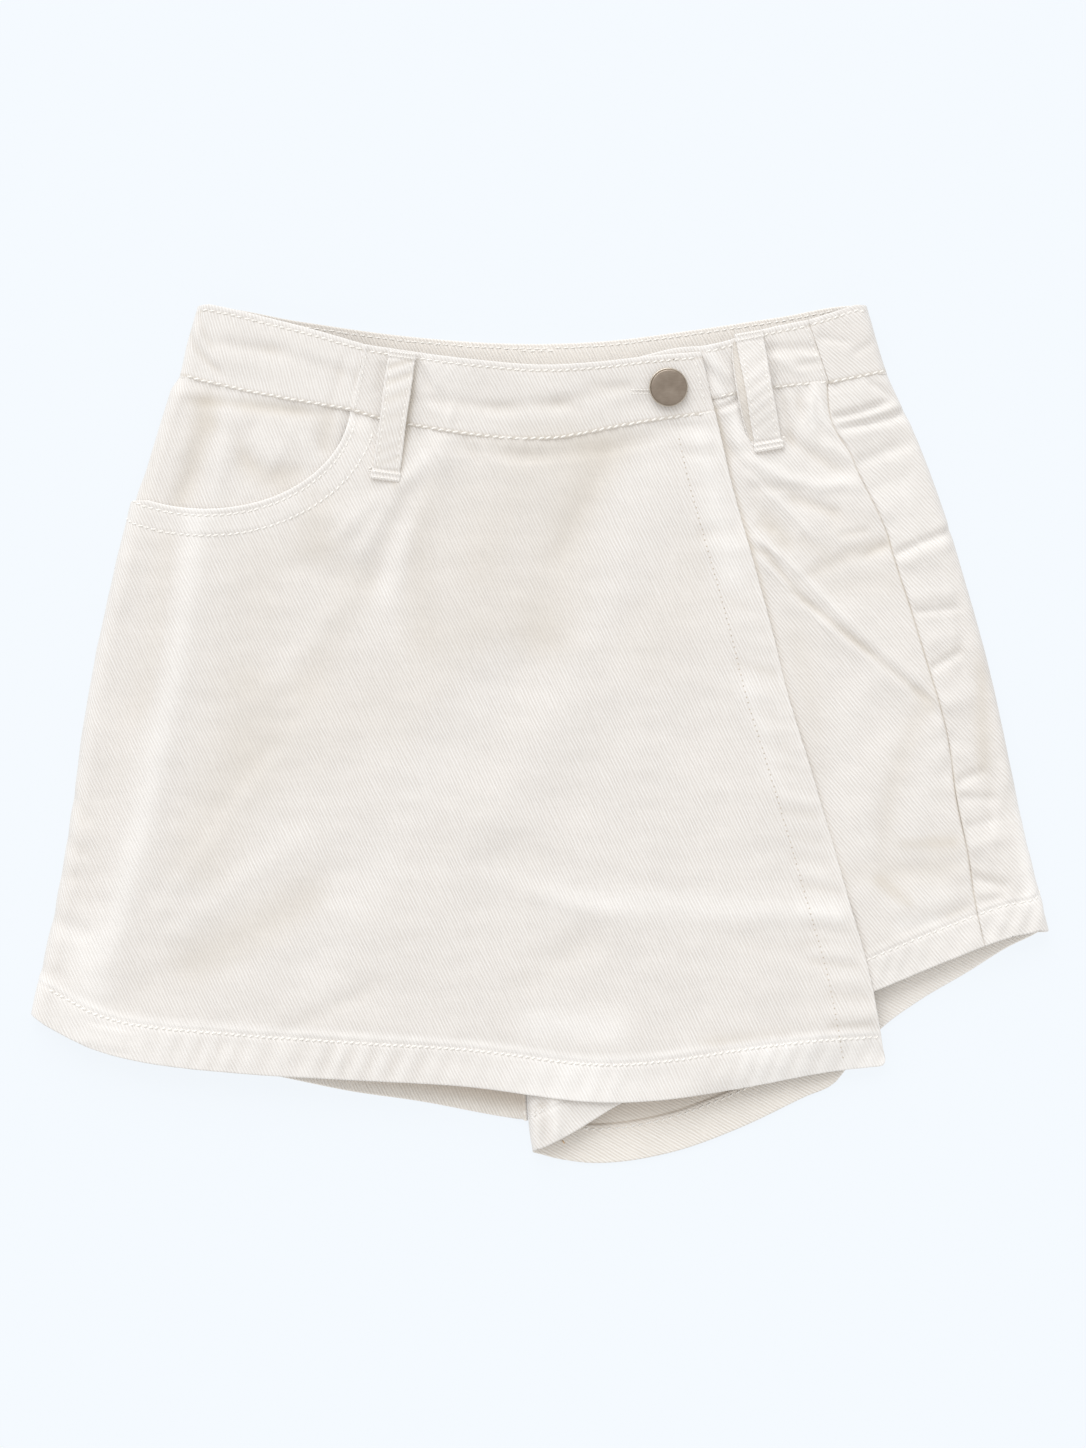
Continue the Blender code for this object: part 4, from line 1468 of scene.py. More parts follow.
WRAP_PAINTED_LIGHT = table(
    Crease,
    # painted highlights on the folds' ridges, and a little painted shade beside one
    (-137, 84, -171, -84, 0.52, 5.5, -4), (-146, 76, -156, 12, -0.22, 8, -4), (-46, 112, -60, 60, 0.22, 4),
    (40, 106, -90, -96, 0.16, 10, 4), (10, -67, 116, -73, 0.36, 6), (84, 16, 92, -12, 0.35, 4),
    (0, -117, 28, -119, 0.6, 7), (65, 118, 77, 66, 0.52, 7), (-184, -80, -178, -104, 0.6, 9),
    # painted shade where the folds lie in each other's shade, broadly darker in the middle, beside the right belt
    # loop and near the hem
    (22, 112, 2, 40, -0.34, 15), (-22, 120, 34, 118, -0.2, 9), (-4, 108, -22, 66, -0.18, 11),
    (-4, 44, -112, -14, -0.14, 18), (-90, 94, -88, 74, -0.3, 9), (-50, 96, -46, 40, -0.22, 8),
    (-92, 20, -74, 58, -0.2, 9), (-112, 16, -134, -52, -0.24, 14), (-92, -68, -136, -92, -0.26, 11),
    (72, -126.5, 97, -124.5, -0.7, 4.5), (-52.8, 121, -56.6, 103.5, -0.8, 1.4), (-30, 96, -26, 40, -0.12, 14),
    (-110, 70, -120, 20, -0.12, 14), (66, 70, 46, 30, -0.12, 14),
)


FACING_PUCKERS = table(
    Crease, (56, 122.5, 67, 121, -0.4, 1.8), (58, 111.5, 69, 112.5, -0.45, 2.6), (62, 98, 70, 96.5, -0.25, 2),
    (64, 79, 78, 81, -0.55, 3.2), (66, 74, 80, 73, 0.25, 2.6), (74, 53, 82, 51, -0.3, 3.6),
    (79, 27, 94, 23.5, -0.5, 2.6), (82, 17, 95, 13, 0.3, 2.6), (83, 9, 94, 7, -0.3, 2.4), (86, -4, 98, -6, -0.4, 3),
    (89, -13, 101, -15, -0.25, 2.4), (96, -25, 110, -28, 0.4, 2.2), (97, -31.5, 110, -33, -0.4, 2.4),
    (102, -42, 112, -44, -0.3, 2.2), (101, -50, 114, -52, -0.25, 2.4), (104, -56, 114, -58, 0.4, 2),
    (105, -61.5, 120, -64, -0.5, 2.2), (104, -71, 120, -73.5, 0.5, 3.2), (107, -78, 122, -79.5, -0.45, 1.8),
    (106, -84.5, 116, -83.5, -0.3, 2), (110, -88, 124, -88.5, 0.35, 2), (109, -91.5, 126, -93.5, -0.5, 1.7),
    (114, -98.5, 128, -99.5, 0.35, 2.2), (116, -105, 130, -106, -0.35, 2.6), (116, -112.5, 132, -112, 0.45, 2.2),
    (117, -118, 132, -117, -0.55, 1.7),
)


# how far above its edge the hem is stitched
WRAP_HEM_DEPTH = Curve(
    Across, (-206, 13.4), (-172, 13.8), (-138, 15.2), (-36, 14.7), (24, 15), (84, 15.3), (114, 13.3), (136, 12),
)


@dataclass
class WrapPanel(ClothPiece):
    """Skirt-like overlay, from the right side fold to its faced free edge on the left leg."""

    node: str = "wrap_panel"
    grain: float = 64.0
    base: float = PANEL_LIFT
    wall: float = 0.95
    rests_on: tuple[str, ...] = ("front_right_cloth", "front_left_cloth", "hip_piece_cloth")
    radii: tuple[float, ...] = (0.0, 1.0, 2.4, 2.8)
    hem: Hem = Hem()
    facing: float = 17.0
    edge_roping: Roping = Roping(8.5, 0.12, 9.0, -0.12, 0.4)
    lip: float = 11.0
    lip_stitches: tuple[float, ...] = (2.9, 10.9)

    @staticmethod
    def top(x: Array) -> Array:
        """Upper edge: the waistband's seam, or the pocket's mouth where that is lower."""
        return np.minimum(WRAP_BAND_SEAM(x) + UNDER_BAND, scoop_y(x))

    def grid(self) -> tuple[Array, Array]:
        """Grid from below the right side fold to the free edge."""
        top_x = corner(self.top, FORM.right_turn, 90.0)[0]
        edge_x = corner(self.top, FREE_EDGE, 125.0)[0]
        mouth_x = MOUTH_END_X + 0.4
        first = math.acos((top_x - SCOOP_X) / SCOOP_WIDE)
        last = math.acos((mouth_x - SCOOP_X) / SCOOP_WIDE)
        scoop = SCOOP_X + SCOOP_WIDE * np.cos(np.linspace(first, last, 62))
        past = mix(mouth_x, edge_x, stations(edge_x - mouth_x, 1.4, (), (Fine(10.0, 10.0, 1.1),), Ends.END)[1:])
        columns = (np.concatenate([scoop, past]) - top_x) / (edge_x - top_x)
        hem = (Fine(self.hem.depth + 1.2, 3.6, 0.5), Fine(6.0, 6.0, 1.2))
        lips = (Fine(self.lip_stitches[0], 1.6, 0.6), Fine(self.lip_stitches[1], 1.6, 0.6))
        rows = stations(238.0, 1.6, lips, hem)
        x, y = patch(self.top, WRAP_HEM, FORM.right_turn, FREE_EDGE, columns, rows)
        turn = PANEL_END_TURN * (1.0 - stations(16.0, 1.3, rims=Ends.START)[None, :-1])
        plan_x = x[:, :1] - (FORM.radius(y[:, :1]) + self.base) * np.sin(np.minimum(turn, 0.5 * math.pi))
        # round the fold the hem goes on rising as it does on the flat
        rise = WRAP_HEM(plan_x) - WRAP_HEM(x[:, :1])
        arc_y = y[:, :1] + rise * smooth(1.0 - (y[:, :1] - WRAP_HEM(x[:, :1])) / 40.0)
        arc_s, arc_y = FORM.round_right(arc_y, self.base, turn)
        return beside(arc_s, x), beside(arc_y, y)

    @staticmethod
    def off_edge(s: Array, y: Array) -> Array:
        """Distance in from the free edge."""
        return -distance_from(FREE_EDGE, y, s)

    def off_hem(self, s: Array, y: Array) -> Array:
        """Distance from the hem's edge, scaled so that its stitches lie at the same value all along."""
        plan_x = FORM.plan_x(s, y, self.base)
        return distance_from(WRAP_HEM, plan_x, y) * self.hem.depth / WRAP_HEM_DEPTH(plan_x)

    def out(self, s: Array, y: Array) -> Array:
        """Lift, creases, hem, facing and pocket lip."""
        flat = smooth((s - FORM.right_turn(y)) / 6.0 + 1.0)
        lift = panel_lift(s, y)
        below_band = WRAP_BAND_SEAM(s) - y
        tuck = smooth(1.0 - below_band / 9.0) * smooth((s - MOUTH_END_X) / 4.0 + 1.0)
        lift = mix(lift, BAND_WRAP_LIFT - 0.5, tuck)
        off_hem = self.off_hem(s, y)
        off_edge = self.off_edge(s, y)
        off_lip = scoop_distance(s, y)
        lift -= 0.5 * smooth(1.0 - off_edge / 9.0) * smooth(below_band / 6.0)
        relief = DEPTH * creases(WRAP_CREASES, s, y)
        relief = relief + ripple(s, y, 46.0, 0.20, 11) + ripple(s, y, 11.0, 0.07, 12, 1.8)
        relief += self.hem.relief(s, off_hem)
        relief += self.edge_roping.at(y, np.maximum(off_edge - 6.0, 0.0)) * smooth((y + 128.0) / 10.0)
        relief += 0.9 * self.puckers(s, y)
        relief -= 0.05 * bell(off_edge - self.facing, 1.0)
        relief += 0.20 * smooth((self.lip + 1.5 - off_lip) / 3.0)
        for row in self.lip_stitches:
            relief -= 0.24 * bell(off_lip - row, 0.8)
        relief += 0.18 * bell(off_lip - 1.0, 1.0)
        relief += Roping(6.0, 0.09, 6.0, 0.2, 2.2).at(s, off_lip - 6.5)
        relief += Roping(8.0, 0.16, 7.0, 0.1, 0.6).at(s, below_band) * (off_lip > 4.0)
        return lift + relief * mix(0.55, 1.0, flat)

    @staticmethod
    def puckers(s: Array, y: Array) -> Array:
        """Height of the facing's puckers, which fade within a short way of their ends.

        Args:
            s: the points' unrolled places across.
            y: their places up.

        Returns:
            The height at each point.
        """
        total = np.zeros(np.broadcast(s, y).shape)
        for row in FACING_PUCKERS:
            slope = (row.y1 - row.y0) / (row.x1 - row.x0)
            reach = smooth((s - row.x0 + 3.0) / 4.0) * smooth((row.x1 + 4.0 - s) / 4.0)
            total += row.height * reach * bell(y - row.y0 - slope * (s - row.x0), row.width)
        return total

    def thickness(self, s: Array, y: Array) -> Array:
        """Single cloth, doubled at the hem, the facing and the pocket's lip."""
        off_edge = self.off_edge(s, y)
        off_lip = scoop_distance(s, y)
        extra = np.maximum(smooth((14.0 - self.off_hem(s, y)) / 2.0), smooth((self.facing - off_edge) / 2.0))
        return self.wall + 0.25 * np.maximum(extra, smooth((self.lip - off_lip) / 2.0))

    def doubled(self, s: Array, y: Array) -> Array:
        """Painted light: the paler hem, facing and lip, painted highlights on their edges and on the ridge above the
        hem, and painted light and shade on the creases and puckers.
        """
        off_edge = self.off_edge(s, y)
        off_lip = scoop_distance(s, y)
        hem = self.hem.doubled(self.off_hem(s, y))
        # the hem is painted paler near its left end, towards the right fold and round the middle
        near_fold = smooth((-80.0 - s) / 60.0) * smooth((s + 200.0) / 16.0) * (1.0 - 0.7 * bell(s + 128.0, 20.0))
        ends = np.maximum.reduce([smooth((s - 71.0) / 20.0), 0.6 * near_fold, 0.8 * bell(s - 14.0, 26.0)])
        edge = 0.05 * smooth((self.facing + 2.0 - off_edge) / 6.0) + 0.3 * bell(off_edge, 1.2)
        lip = 0.15 * smooth((self.lip + 1.0 - off_lip) / 3.0) + 0.6 * bell(off_lip, 1.3)
        painted_crease_light = creases(WRAP_PAINTED_LIGHT, s, y) + 0.15 * creases(WRAP_CREASES, s, y) + 0.4 * self.puckers(s, y)
        # painted light and shade on the hem's puckers, and a painted highlight on the ridge above its stitches
        painted_roping_light = 0.8 * self.hem.roping.at(s, self.off_hem(s, y) - 0.45 * self.hem.depth)
        ridge = 0.45 * bell(self.off_hem(s, y) - self.hem.depth - 2.4, 1.8)
        whole = np.maximum.reduce([mix(0.22, 0.9, ends) * hem, edge, lip]) + painted_crease_light * (1.0 - hem) + painted_roping_light + ridge
        return whole

    def sew(self) -> bpy.types.Object:
        """Sews the hem, the pocket's lip and the dots that hold the facing."""
        work = StitchWork("wrap_panel_stitches", 21)
        start = float(FORM.right_turn(np.array(-105.0))) - 1.0
        hem = along(start, 136.2, lambda x: WRAP_HEM.raised(x, WRAP_HEM_DEPTH(x)))
        work.row(self.surface, hem, Stitching(pitch=2.5, length=1.95, radius=0.50, lie=0.16, slant=0.30))
        for tuck in self.lip_stitches:
            turn = np.linspace(math.radians(121.0), math.radians(7.0 + 0.5 * tuck), 160)
            x = SCOOP_X + (SCOOP_WIDE + tuck) * np.cos(turn)
            path = np.stack([x, SCOOP_Y - (SCOOP_DEEP + tuck) * np.sin(turn)], axis=-1)
            work.row(self.surface, path, Stitching(pitch=2.8))
        work.build()
        # the dots' darker thread is painted shade in the needle holes
        dots = StitchWork("facing_stitches", 26, THREAD_PAINTED_HOLE_SHADE)
        small = Stitching(pitch=2.3, length=0.75, radius=0.30, lie=0.0, dip=0.3, slant=0.0)
        dots.row(self.surface, along(118.0, -131.0, FREE_EDGE, -self.facing), small)
        return dots.build()


# --- Hip piece ---

HIP_CREASES = table(
    Crease, (-131, 132, -98, 128.5, -0.75, 2.6), (-134, 128, -142, 96, -0.65, 4.6, -1),
    (-124, 126, -129, 96, 0.45, 4), (-122, 119, -116, 108, -0.22, 3), (-112, 118, -104, 112, 0.45, 6),
    (-117, 108, -102, 99, -0.5, 4.8, 1), (-104, 104, -96, 104, -0.4, 3.4), (-97, 120, -88, 110, 0.35, 3.4),
    (-84, 128, -86, 114, -0.5, 3.6), (-154, 112, -158, 96, -0.25, 2.2),
)


@dataclass
class HipPiece(ClothPiece):
    """Back of the pocket, which shows in the scoop of its mouth."""

    node: str = "hip_piece"
    grain: float = 68.0
    base: float = HIP_LIFT
    rests_on: tuple[str, ...] = ("front_right_cloth",)

    def grid(self) -> tuple[Array, Array]:
        """Grid from the right side fold to a line under the wrap panel."""
        x, y = patch(
            lambda x: HIP_SEAM(x) + UNDER_BAND,
            lambda x: scoop_y(x, SCOOP_TUCK),
            FORM.right_turn,
            lambda y: HIP_END_X,
            stations(86.0, 1.4, rims=Ends.END)[1:],
            stations(56.0, 1.4, (Fine(4.0, 4.0, 1.0),)),
        )
        turn = HIP_END_TURN * (1.0 - stations(14.0, 1.3, rims=Ends.START))
        arc_s, arc_y = FORM.round_right(y[:, :1], self.base, turn)
        return beside(arc_s, x), beside(arc_y, y)

    def out(self, s: Array, y: Array) -> Array:
        """Lift, creases and the tuck under the waistband."""
        below_band = HIP_SEAM(s) - y
        tuck = smooth(1.0 - below_band / 8.0)
        under = 1.1 * smooth((s - MOUTH_END_X) / 6.0 + 1.0)
        lift = mix(HIP_LIFT, band_lift(s, y) - 0.5, tuck) - under
        relief = 1.8 * creases(HIP_CREASES, s, y)
        relief = relief + ripple(s, y, 22.0, 0.16, 31) + ripple(s, y, 9.0, 0.06, 32)
        relief += Roping(6.5, 0.26, 6.0, 0.0, 0.9).at(s, below_band)
        return lift + relief

    def doubled(self, s: Array, y: Array) -> Array:
        """Painted highlights on the ridges of the creases, painted shade in their troughs, and a spot of painted
        shade under the waistband.
        """
        return 0.60 * creases(HIP_CREASES, s, y) - 0.30 * bell(np.hypot(s + 130.0, y - 123.0), 5.0)


# --- Legs ---


# how far the columns between a panel's inner turn and its inseam have gone, the last of them at the inseam
INSEAM_SHARES = np.array([0.33, 0.5, 0.66, 0.8, 0.9, 0.96, 1.0])


def on_to_inseam(x: Array, y: Array, leg: Leg) -> tuple[Array, Array]:
    """Adds the columns that go on from a leg panel's inner turn to its inseam.

    Args:
        x: the panel's grid, whose inner edge is its first column on the left leg and its last on the right.
        y: the same for y.
        leg: the leg.

    Returns:
        The whole grid's flat x and y.
    """
    edge, beside_it = (0, 1) if leg is Leg.LEFT else (-1, -2)
    turn_x, turn_y = x[:, edge], y[:, edge]
    slope = (turn_y - y[:, beside_it]) / (turn_x - x[:, beside_it])
    radius = FORM.radius(turn_y)
    last = 0.5 * math.pi * radius - mix(0.5 * GAP, 0.05, FORM.legs_apart(turn_y))
    new_x = turn_x[:, None] - leg.value * last[:, None] * INSEAM_SHARES
    shrink = mix(1.0, 2.0 / math.pi, FORM.legs_apart(turn_y))
    new_y = turn_y[:, None] + (slope * shrink)[:, None] * (new_x - turn_x[:, None])
    if leg is Leg.LEFT:
        return beside(new_x[:, ::-1], x), beside(new_y[:, ::-1], y)
    return beside(x, new_x), beside(y, new_y)


# painted shade in two creases beside the side seam, low down, and a painted highlight on a third
FRONT_LEFT_PAINTED_LIGHT = table(
    Crease, (148, -44.5, 164, -44, -0.48, 3.2), (146, -77, 158, -75, 0.6, 3.2), (137, -60, 147, -68, -0.5, 3.2),
)

FRONT_LEFT_CREASES = table(
    Crease,
    # under the left belt loop
    (90, 106, 119, 99, 0.75, 3, 3), (100, 117.5, 117, 106.5, -0.7, 2.8), (89, 98, 104, 97.5, -0.6, 2.6),
    (103, 93, 117, 88.5, -0.8, 2.8), (116, 115, 123, 110.5, 0.5, 2.4), (112.5, 122, 115, 116, -0.25, 1.7),
    (110, 137, 108.5, 127, 0.45, 1.8), (122, 79, 130, 80.5, -0.35, 1.8), (88, 83, 93, 81, -0.3, 2),
    (89, 98, 106, 82, 0.4, 1.6, -0.5), (86, 92, 97, 77, -0.4, 4), (98, 108, 112, 128, 0.3, 5),
    (104, 132, 112, 122, -0.35, 3),
    # between the free edge and the loop
    (70.5, 131, 79.5, 135.5, 0.3, 1.2, 0.5), (71, 129.3, 80, 133.5, -0.45, 1.1, 0.6),
    (72, 127.5, 81, 131, 0.35, 1.4, 0.6), (71, 127, 76, 112, -0.6, 1.8), (78.5, 126, 80, 116, 0.5, 2.6),
    (77, 113, 82, 106, -0.35, 1.8), (97.5, 133, 101, 117, -0.5, 1.8),
    # puckers below the waistband
    (112, 134, 115, 123, 0.5, 1.6), (115.5, 134, 117, 126, -0.5, 1.4), (108, 131, 110, 122, 0.35, 2),
    (103.5, 135, 104.5, 127, -0.35, 1.5), (92, 86, 99, 76, -0.35, 4), (106, 76, 114, 72, -0.35, 3.5),
    (112, 65, 141.5, 76.5, -0.5, 3.4, -1.2), (132, 71.5, 142, 76.5, -0.45, 1.8), (118, 84, 132, 86, -0.25, 4),
    (120, 58, 142, 60, -0.25, 5),
    # the long crease from the free edge to the side seam
    (84, 74, 90, 71.5, -0.35, 1.5), (92.5, 69.8, 107, 52, -0.7, 1.5, 0.8), (107, 52, 127, 36, -0.64, 1.5),
    (127, 36, 151.5, 16.5, -0.48, 1.5), (151, 16, 156, 9, -0.3, 2.6), (87, 77, 95, 71.6, 0.35, 1.5),
    (95, 71.6, 117, 50.6, 0.5, 1.6, -0.6), (117, 50.6, 150, 22, 0.22, 1.8), (92, 65.4, 113, 44.6, 0.45, 1.4, -0.8),
    (113, 44.6, 146, 16, 0.15, 2),
    # beside the side seam, low down
    (154, 12, 138, -40, -0.38, 4.4, 2), (166, 4, 150, -42, 0.42, 6, 2), (130, -56, 160, -54, -0.48, 6),
    (144, -70, 162, -67, 0.45, 4.5), (132, 20, 118, -6, 0.3, 7), (122, -20, 132, -60, 0.22, 8),
    (103, 36, 114, -12, -0.32, 6), (150, -78, 168, -72, -0.35, 3),
    # the corner at the inseam, below the wrap
    (5.5, -147, 7.2, -160, 0.7, 2), (1.6, -151, 3.2, -163, -0.45, 1.8), (-2, -150, -0.6, -163, 0.35, 1.8),
    (12, -146, 16.5, -154, -0.3, 2.6), (-4, -151.6, 3.4, -148.6, -0.35, 1.3),
)
# painted shade in one crease and a painted highlight on another
BACK_STRIP_PAINTED_LIGHT = table(Crease, (177, 22, 178, -8, -0.42, 3.5), (193.5, -30, 197, -62, 0.8, 4))

BACK_STRIP_CREASES = table(
    Crease, (116, 127.8, 134.5, 132.6, -1.25, 1.5, 0.5), (126, 124.8, 145, 129.6, -1.15, 1.6, 0.5),
    (122, 126, 140, 131.2, 0.5, 1.2, 0.5), (134, 141, 141, 136.5, -0.6, 1.6), (122, 120, 143, 125, 0.6, 3.4),
    (125, 109, 144, 116.5, -0.8, 2.8), (134, 100, 146, 104, -0.25, 3), (138, 92, 148, 94, 0.5, 5),
    (141, 72.6, 163, 82, -0.95, 1.7, -0.4), (144, 69.6, 164, 77, 0.4, 2.6), (146, 64, 160, 66, -0.3, 4),
    (150, 56, 164, 58, 0.45, 3), (149, 50, 164, 51.5, -0.6, 1.6), (156, 27, 166, 33, -0.85, 2),
    (156, 38, 166, 41, 0.35, 3.4), (166, 74, 169, 34, -0.4, 2.4), (163, 12, 172, 18, 0.4, 4),
    (174, 6, 180, -22, -0.45, 3), (167, -18, 176, -14, -0.75, 2.4), (167, -24, 180, -24.5, -0.55, 2.2),
    (169, -36, 182, -33, -0.5, 2.4), (172, -44, 184, -40, 0.4, 3), (171, -55, 184, -59, -0.95, 2.6),
    (174, -66, 184, -64, -0.45, 2), (186, -16, 182, -40, 0.45, 2.6),
)
LEG_HEM = Hem(depth=12.8, rise=0.25, groove=0.22, ridge=0.32, roping=Roping(9.0, 0.28, 8.0, -0.4, 0.7))


def side_seam_relief(off: Array, y: Array) -> Array:
    """Relief beside the left side seam: a narrow groove with soft lips and puckers."""
    groove = -0.32 * bell(off, 0.50) + 0.16 * bell(np.abs(off) - 1.5, 1.0)
    return groove + Roping(11.0, 0.26, 7.0, 0.3, 2.9).at(y, off) * smooth(np.abs(off) / 2.0)


def seam_painted_shade(off: Array) -> Array:
    """Painted shade, below 0, in the groove of a seam."""
    return -0.7 * bell(off, 0.40)


@dataclass
class FrontLeft(ClothPiece):
    """Front of the left leg, from the side seam to the centre line under the wrap panel."""

    node: str = "front_left"
    grain: float = 50.0
    leg: Leg = Leg.LEFT
    sewn: Ends = Ends.END
    rests_on: tuple[str, ...] = ("back_left_cloth",)

    def grid(self) -> tuple[Array, Array]:
        """Grid from the inseam to the side seam."""
        x, y = patch(
            lambda x: UNDER_BAND_SEAM(x) + UNDER_BAND,
            LEFT_FRONT_HEM,
            FORM.inner_turn(self.leg),
            SIDE_SEAM,
            stations(150.0, 2.6, (Fine(9.0, 11.0, 1.0),), (Fine(2.5, 2.5, 0.6), Fine(37.0, 37.0, 0.9)), Ends.END),
            stations(262.0, 1.05, (Fine(3.0, 3.0, 0.9),), (Fine(LEG_HEM.depth + 0.8, 3.0, 0.5),)),
        )
        x = beside(FORM.inner_turn(self.leg)(y[:, :1]), x[:, 1:])
        return on_to_inseam(x, y, self.leg)

    def out(self, s: Array, y: Array) -> Array:
        """Creases where it shows, hem, and seams."""
        at_corner = smooth((24.0 - s) / 8.0) * smooth((-138.0 - y) / 8.0)
        shows = np.maximum(smooth((s - FREE_EDGE(y)) / 7.0 + 0.25), at_corner)
        below_band = UNDER_BAND_SEAM(s) - y
        off_hem = distance_from(LEFT_FRONT_HEM, s, y)
        uneven = ripple(s, y, 30.0, 0.18, 41) + ripple(s, y, 10.0, 0.06, 42)
        off_seam = SIDE_SEAM(y) - s
        relief = shows * (DEPTH * creases(FRONT_LEFT_CREASES, s, y) * smooth(off_seam / 3.0) + uneven)
        relief += shows * side_seam_relief(off_seam, y)
        relief += LEG_HEM.relief(s, off_hem) * mix(0.4, 1.0, shows)
        relief -= 0.5 * smooth(1.0 - below_band / 6.0)
        return relief + shows * Roping(7.0, 0.15, 6.0, 0.1, 1.7).at(s, below_band)

    def thickness(self, s: Array, y: Array) -> Array:
        """Doubled at the hem."""
        return self.wall + 0.6 * smooth((12.0 - distance_from(LEFT_FRONT_HEM, s, y)) / 1.5)

    def doubled(self, s: Array, y: Array) -> Array:
        """Painted light: the paler hem, painted shade at the side seam, painted light near the waistband and on the
        creases' ridges, painted shade in their troughs, and painted shadow beside the wrap's free edge.
        """
        hem = 0.30 * LEG_HEM.doubled(distance_from(LEFT_FRONT_HEM, s, y))
        painted_light = 0.16 * smooth((y - 76.0) / 20.0) + 0.50 * creases(FRONT_LEFT_CREASES, s, y)
        # painted light beside the free edge and at the loop's foot, lifting the shade there
        painted_light += 0.45 * bell(np.hypot(s - 83.0, 0.7 * (y - 124.0)), 6.0)
        painted_light += 0.4 * bell(np.hypot(s - 112.0, y - 124.0), 5.0)
        painted_shadow_beside_wrap = -mix(0.20, 0.60, smooth((y - 20.0) / 60.0)) * bell(s - FREE_EDGE(y) - 0.4, 1.3)
        painted_light += creases(FRONT_LEFT_PAINTED_LIGHT, s, y)
        return hem + seam_painted_shade(SIDE_SEAM(y) - s) + painted_light + painted_shadow_beside_wrap


@dataclass
class BackLeft(ClothPiece):
    """Back of the left leg, which goes on over the left side fold to the side seam."""

    node: str = "back_left"
    grain: float = 46.0
    inner_grain: float = 30.0
    leg: Leg = Leg.LEFT
    sewn: Ends = Ends.START
    turn_up: float = 15.6
    # the light from the top leaves a trough's shade above its middle
    shade_rise: float = 2.2

    def grid(self) -> tuple[Array, Array]:
        """Grid from the side seam, round the fold and along the ground to the inseam."""
        hem = (Fine(LEG_HEM.depth + 0.8, 3.0, 0.5), Fine(self.turn_up - 1.6, 1.6, 0.4), Fine(self.turn_up, 0.8, 0.2))
        rows = stations(250.0, 1.1, (Fine(3.0, 3.0, 0.9),), hem)
        over_x, over_y = patch(
            lambda x: BAND_SEAM_LEFT(x) + UNDER_BAND,
            LEFT_FRONT_HEM,
            SIDE_SEAM,
            FORM.left_turn,
            stations(36.0, 1.2, (Fine(2.5, 2.5, 0.5),), rims=Ends.START),
            rows,
        )
        over_x[:, -1] = FORM.left_turn(over_y[:, -1])
        x, y = patch(
            lambda x: BACK_BAND_SEAM(x) - SEAM,
            LEFT_BACK_HEM,
            FORM.inner_turn(self.leg),
            FORM.left_turn,
            stations(185.0, 2.6, rims=Ends.NONE),
            rows,
        )
        ground_x, ground_y = (part[:, ::-1] for part in on_to_inseam(x, y, self.leg))
        share = np.linspace(0.0, 1.0, 13)[None, 1:-1]
        arc_y = mix(over_y[:, -1:], ground_y[:, :1], share)
        arc_s = FORM.left_turn(arc_y) + math.pi * FORM.radius(arc_y) * share
        s = beside(over_x, arc_s, FORM.back_s(ground_x, ground_y, Leg.LEFT))
        return s, beside(over_y, arc_y, ground_y)

    def out(self, s: Array, y: Array) -> Array:
        """Creases, hem and seams, none of them below the fold."""
        shows = smooth((FORM.left_turn(y) + 9.0 - s) / 6.0)
        below_band = BAND_SEAM_LEFT(np.minimum(s, 150.0)) - y
        off_hem = distance_from(LEFT_FRONT_HEM, np.minimum(s, 210.0), y)
        off_seam = s - SIDE_SEAM(y)
        relief = 0.85 * DEPTH * creases(BACK_STRIP_CREASES, s, y + self.shade_rise) * smooth(off_seam / 2.4)
        relief = relief + ripple(s, y, 24.0, 0.18, 51) + ripple(s, y, 9.0, 0.07, 52)
        relief = relief + side_seam_relief(off_seam, y) + LEG_HEM.relief(s, off_hem)
        relief -= 0.5 * smooth(1.0 - below_band / 5.0)
        return relief * shows

    def thickness(self, s: Array, y: Array) -> Array:
        """Doubled at the hem, where the turned-up strip shows inside the leg."""
        under = s > FORM.left_turn(y) + 6.0
        plan_x = FORM.back_s(s, y, Leg.LEFT)
        inside = distance_from(LEFT_BACK_HEM, plan_x, y)
        outside = distance_from(LEFT_FRONT_HEM, np.minimum(s, 204.0), y)
        off = np.where(under, inside, outside)
        turn_up = np.where(under, self.turn_up, 12.0)
        edge = 0.75 * smooth((turn_up - off) / 0.5)
        stitched = -0.18 * bell(off - turn_up + 1.9, 0.7) * under
        puckers = Roping(5.5, 0.12, 6.0, 0.5, 0.2).at(plan_x, off - turn_up + 3.0) * under
        return self.wall + edge + stitched + puckers * smooth((30.0 - off) / 6.0)

    def doubled(self, s: Array, y: Array) -> Array:
        """Painted light: the paler hem, painted shade at the side seam and along the turned-up strip inside, painted
        shade deep inside and painted light at the open end, and painted light and shade on the creases.
        """
        outside = distance_from(LEFT_FRONT_HEM, np.minimum(s, 204.0), y)
        plan_x = FORM.back_s(s, y, Leg.LEFT)
        inside = distance_from(LEFT_BACK_HEM, plan_x, y)
        # inside the leg: painted shade where it lies deep under the front, painted light towards the open end
        open_end = smooth((plan_x - 114.0) / 20.0)
        reach = mix(smooth((inside - 9.0) / 12.0), 1.0, open_end)
        line = -0.5 * (1.0 - open_end) * bell(inside - self.turn_up - 0.1, 0.30) - mix(0.30, -0.75, open_end) * reach
        painted_light = mix(0.04, 0.22, smooth((y - 30.0) / 60.0)) + 0.16 * creases(BACK_STRIP_CREASES, s, y)
        painted_light += creases(BACK_STRIP_PAINTED_LIGHT, s, y)
        hem = 0.40 * LEG_HEM.doubled(outside) + seam_painted_shade(s - SIDE_SEAM(y)) + painted_light
        return np.where(s < FORM.left_turn(y) + 8.0, hem, line)


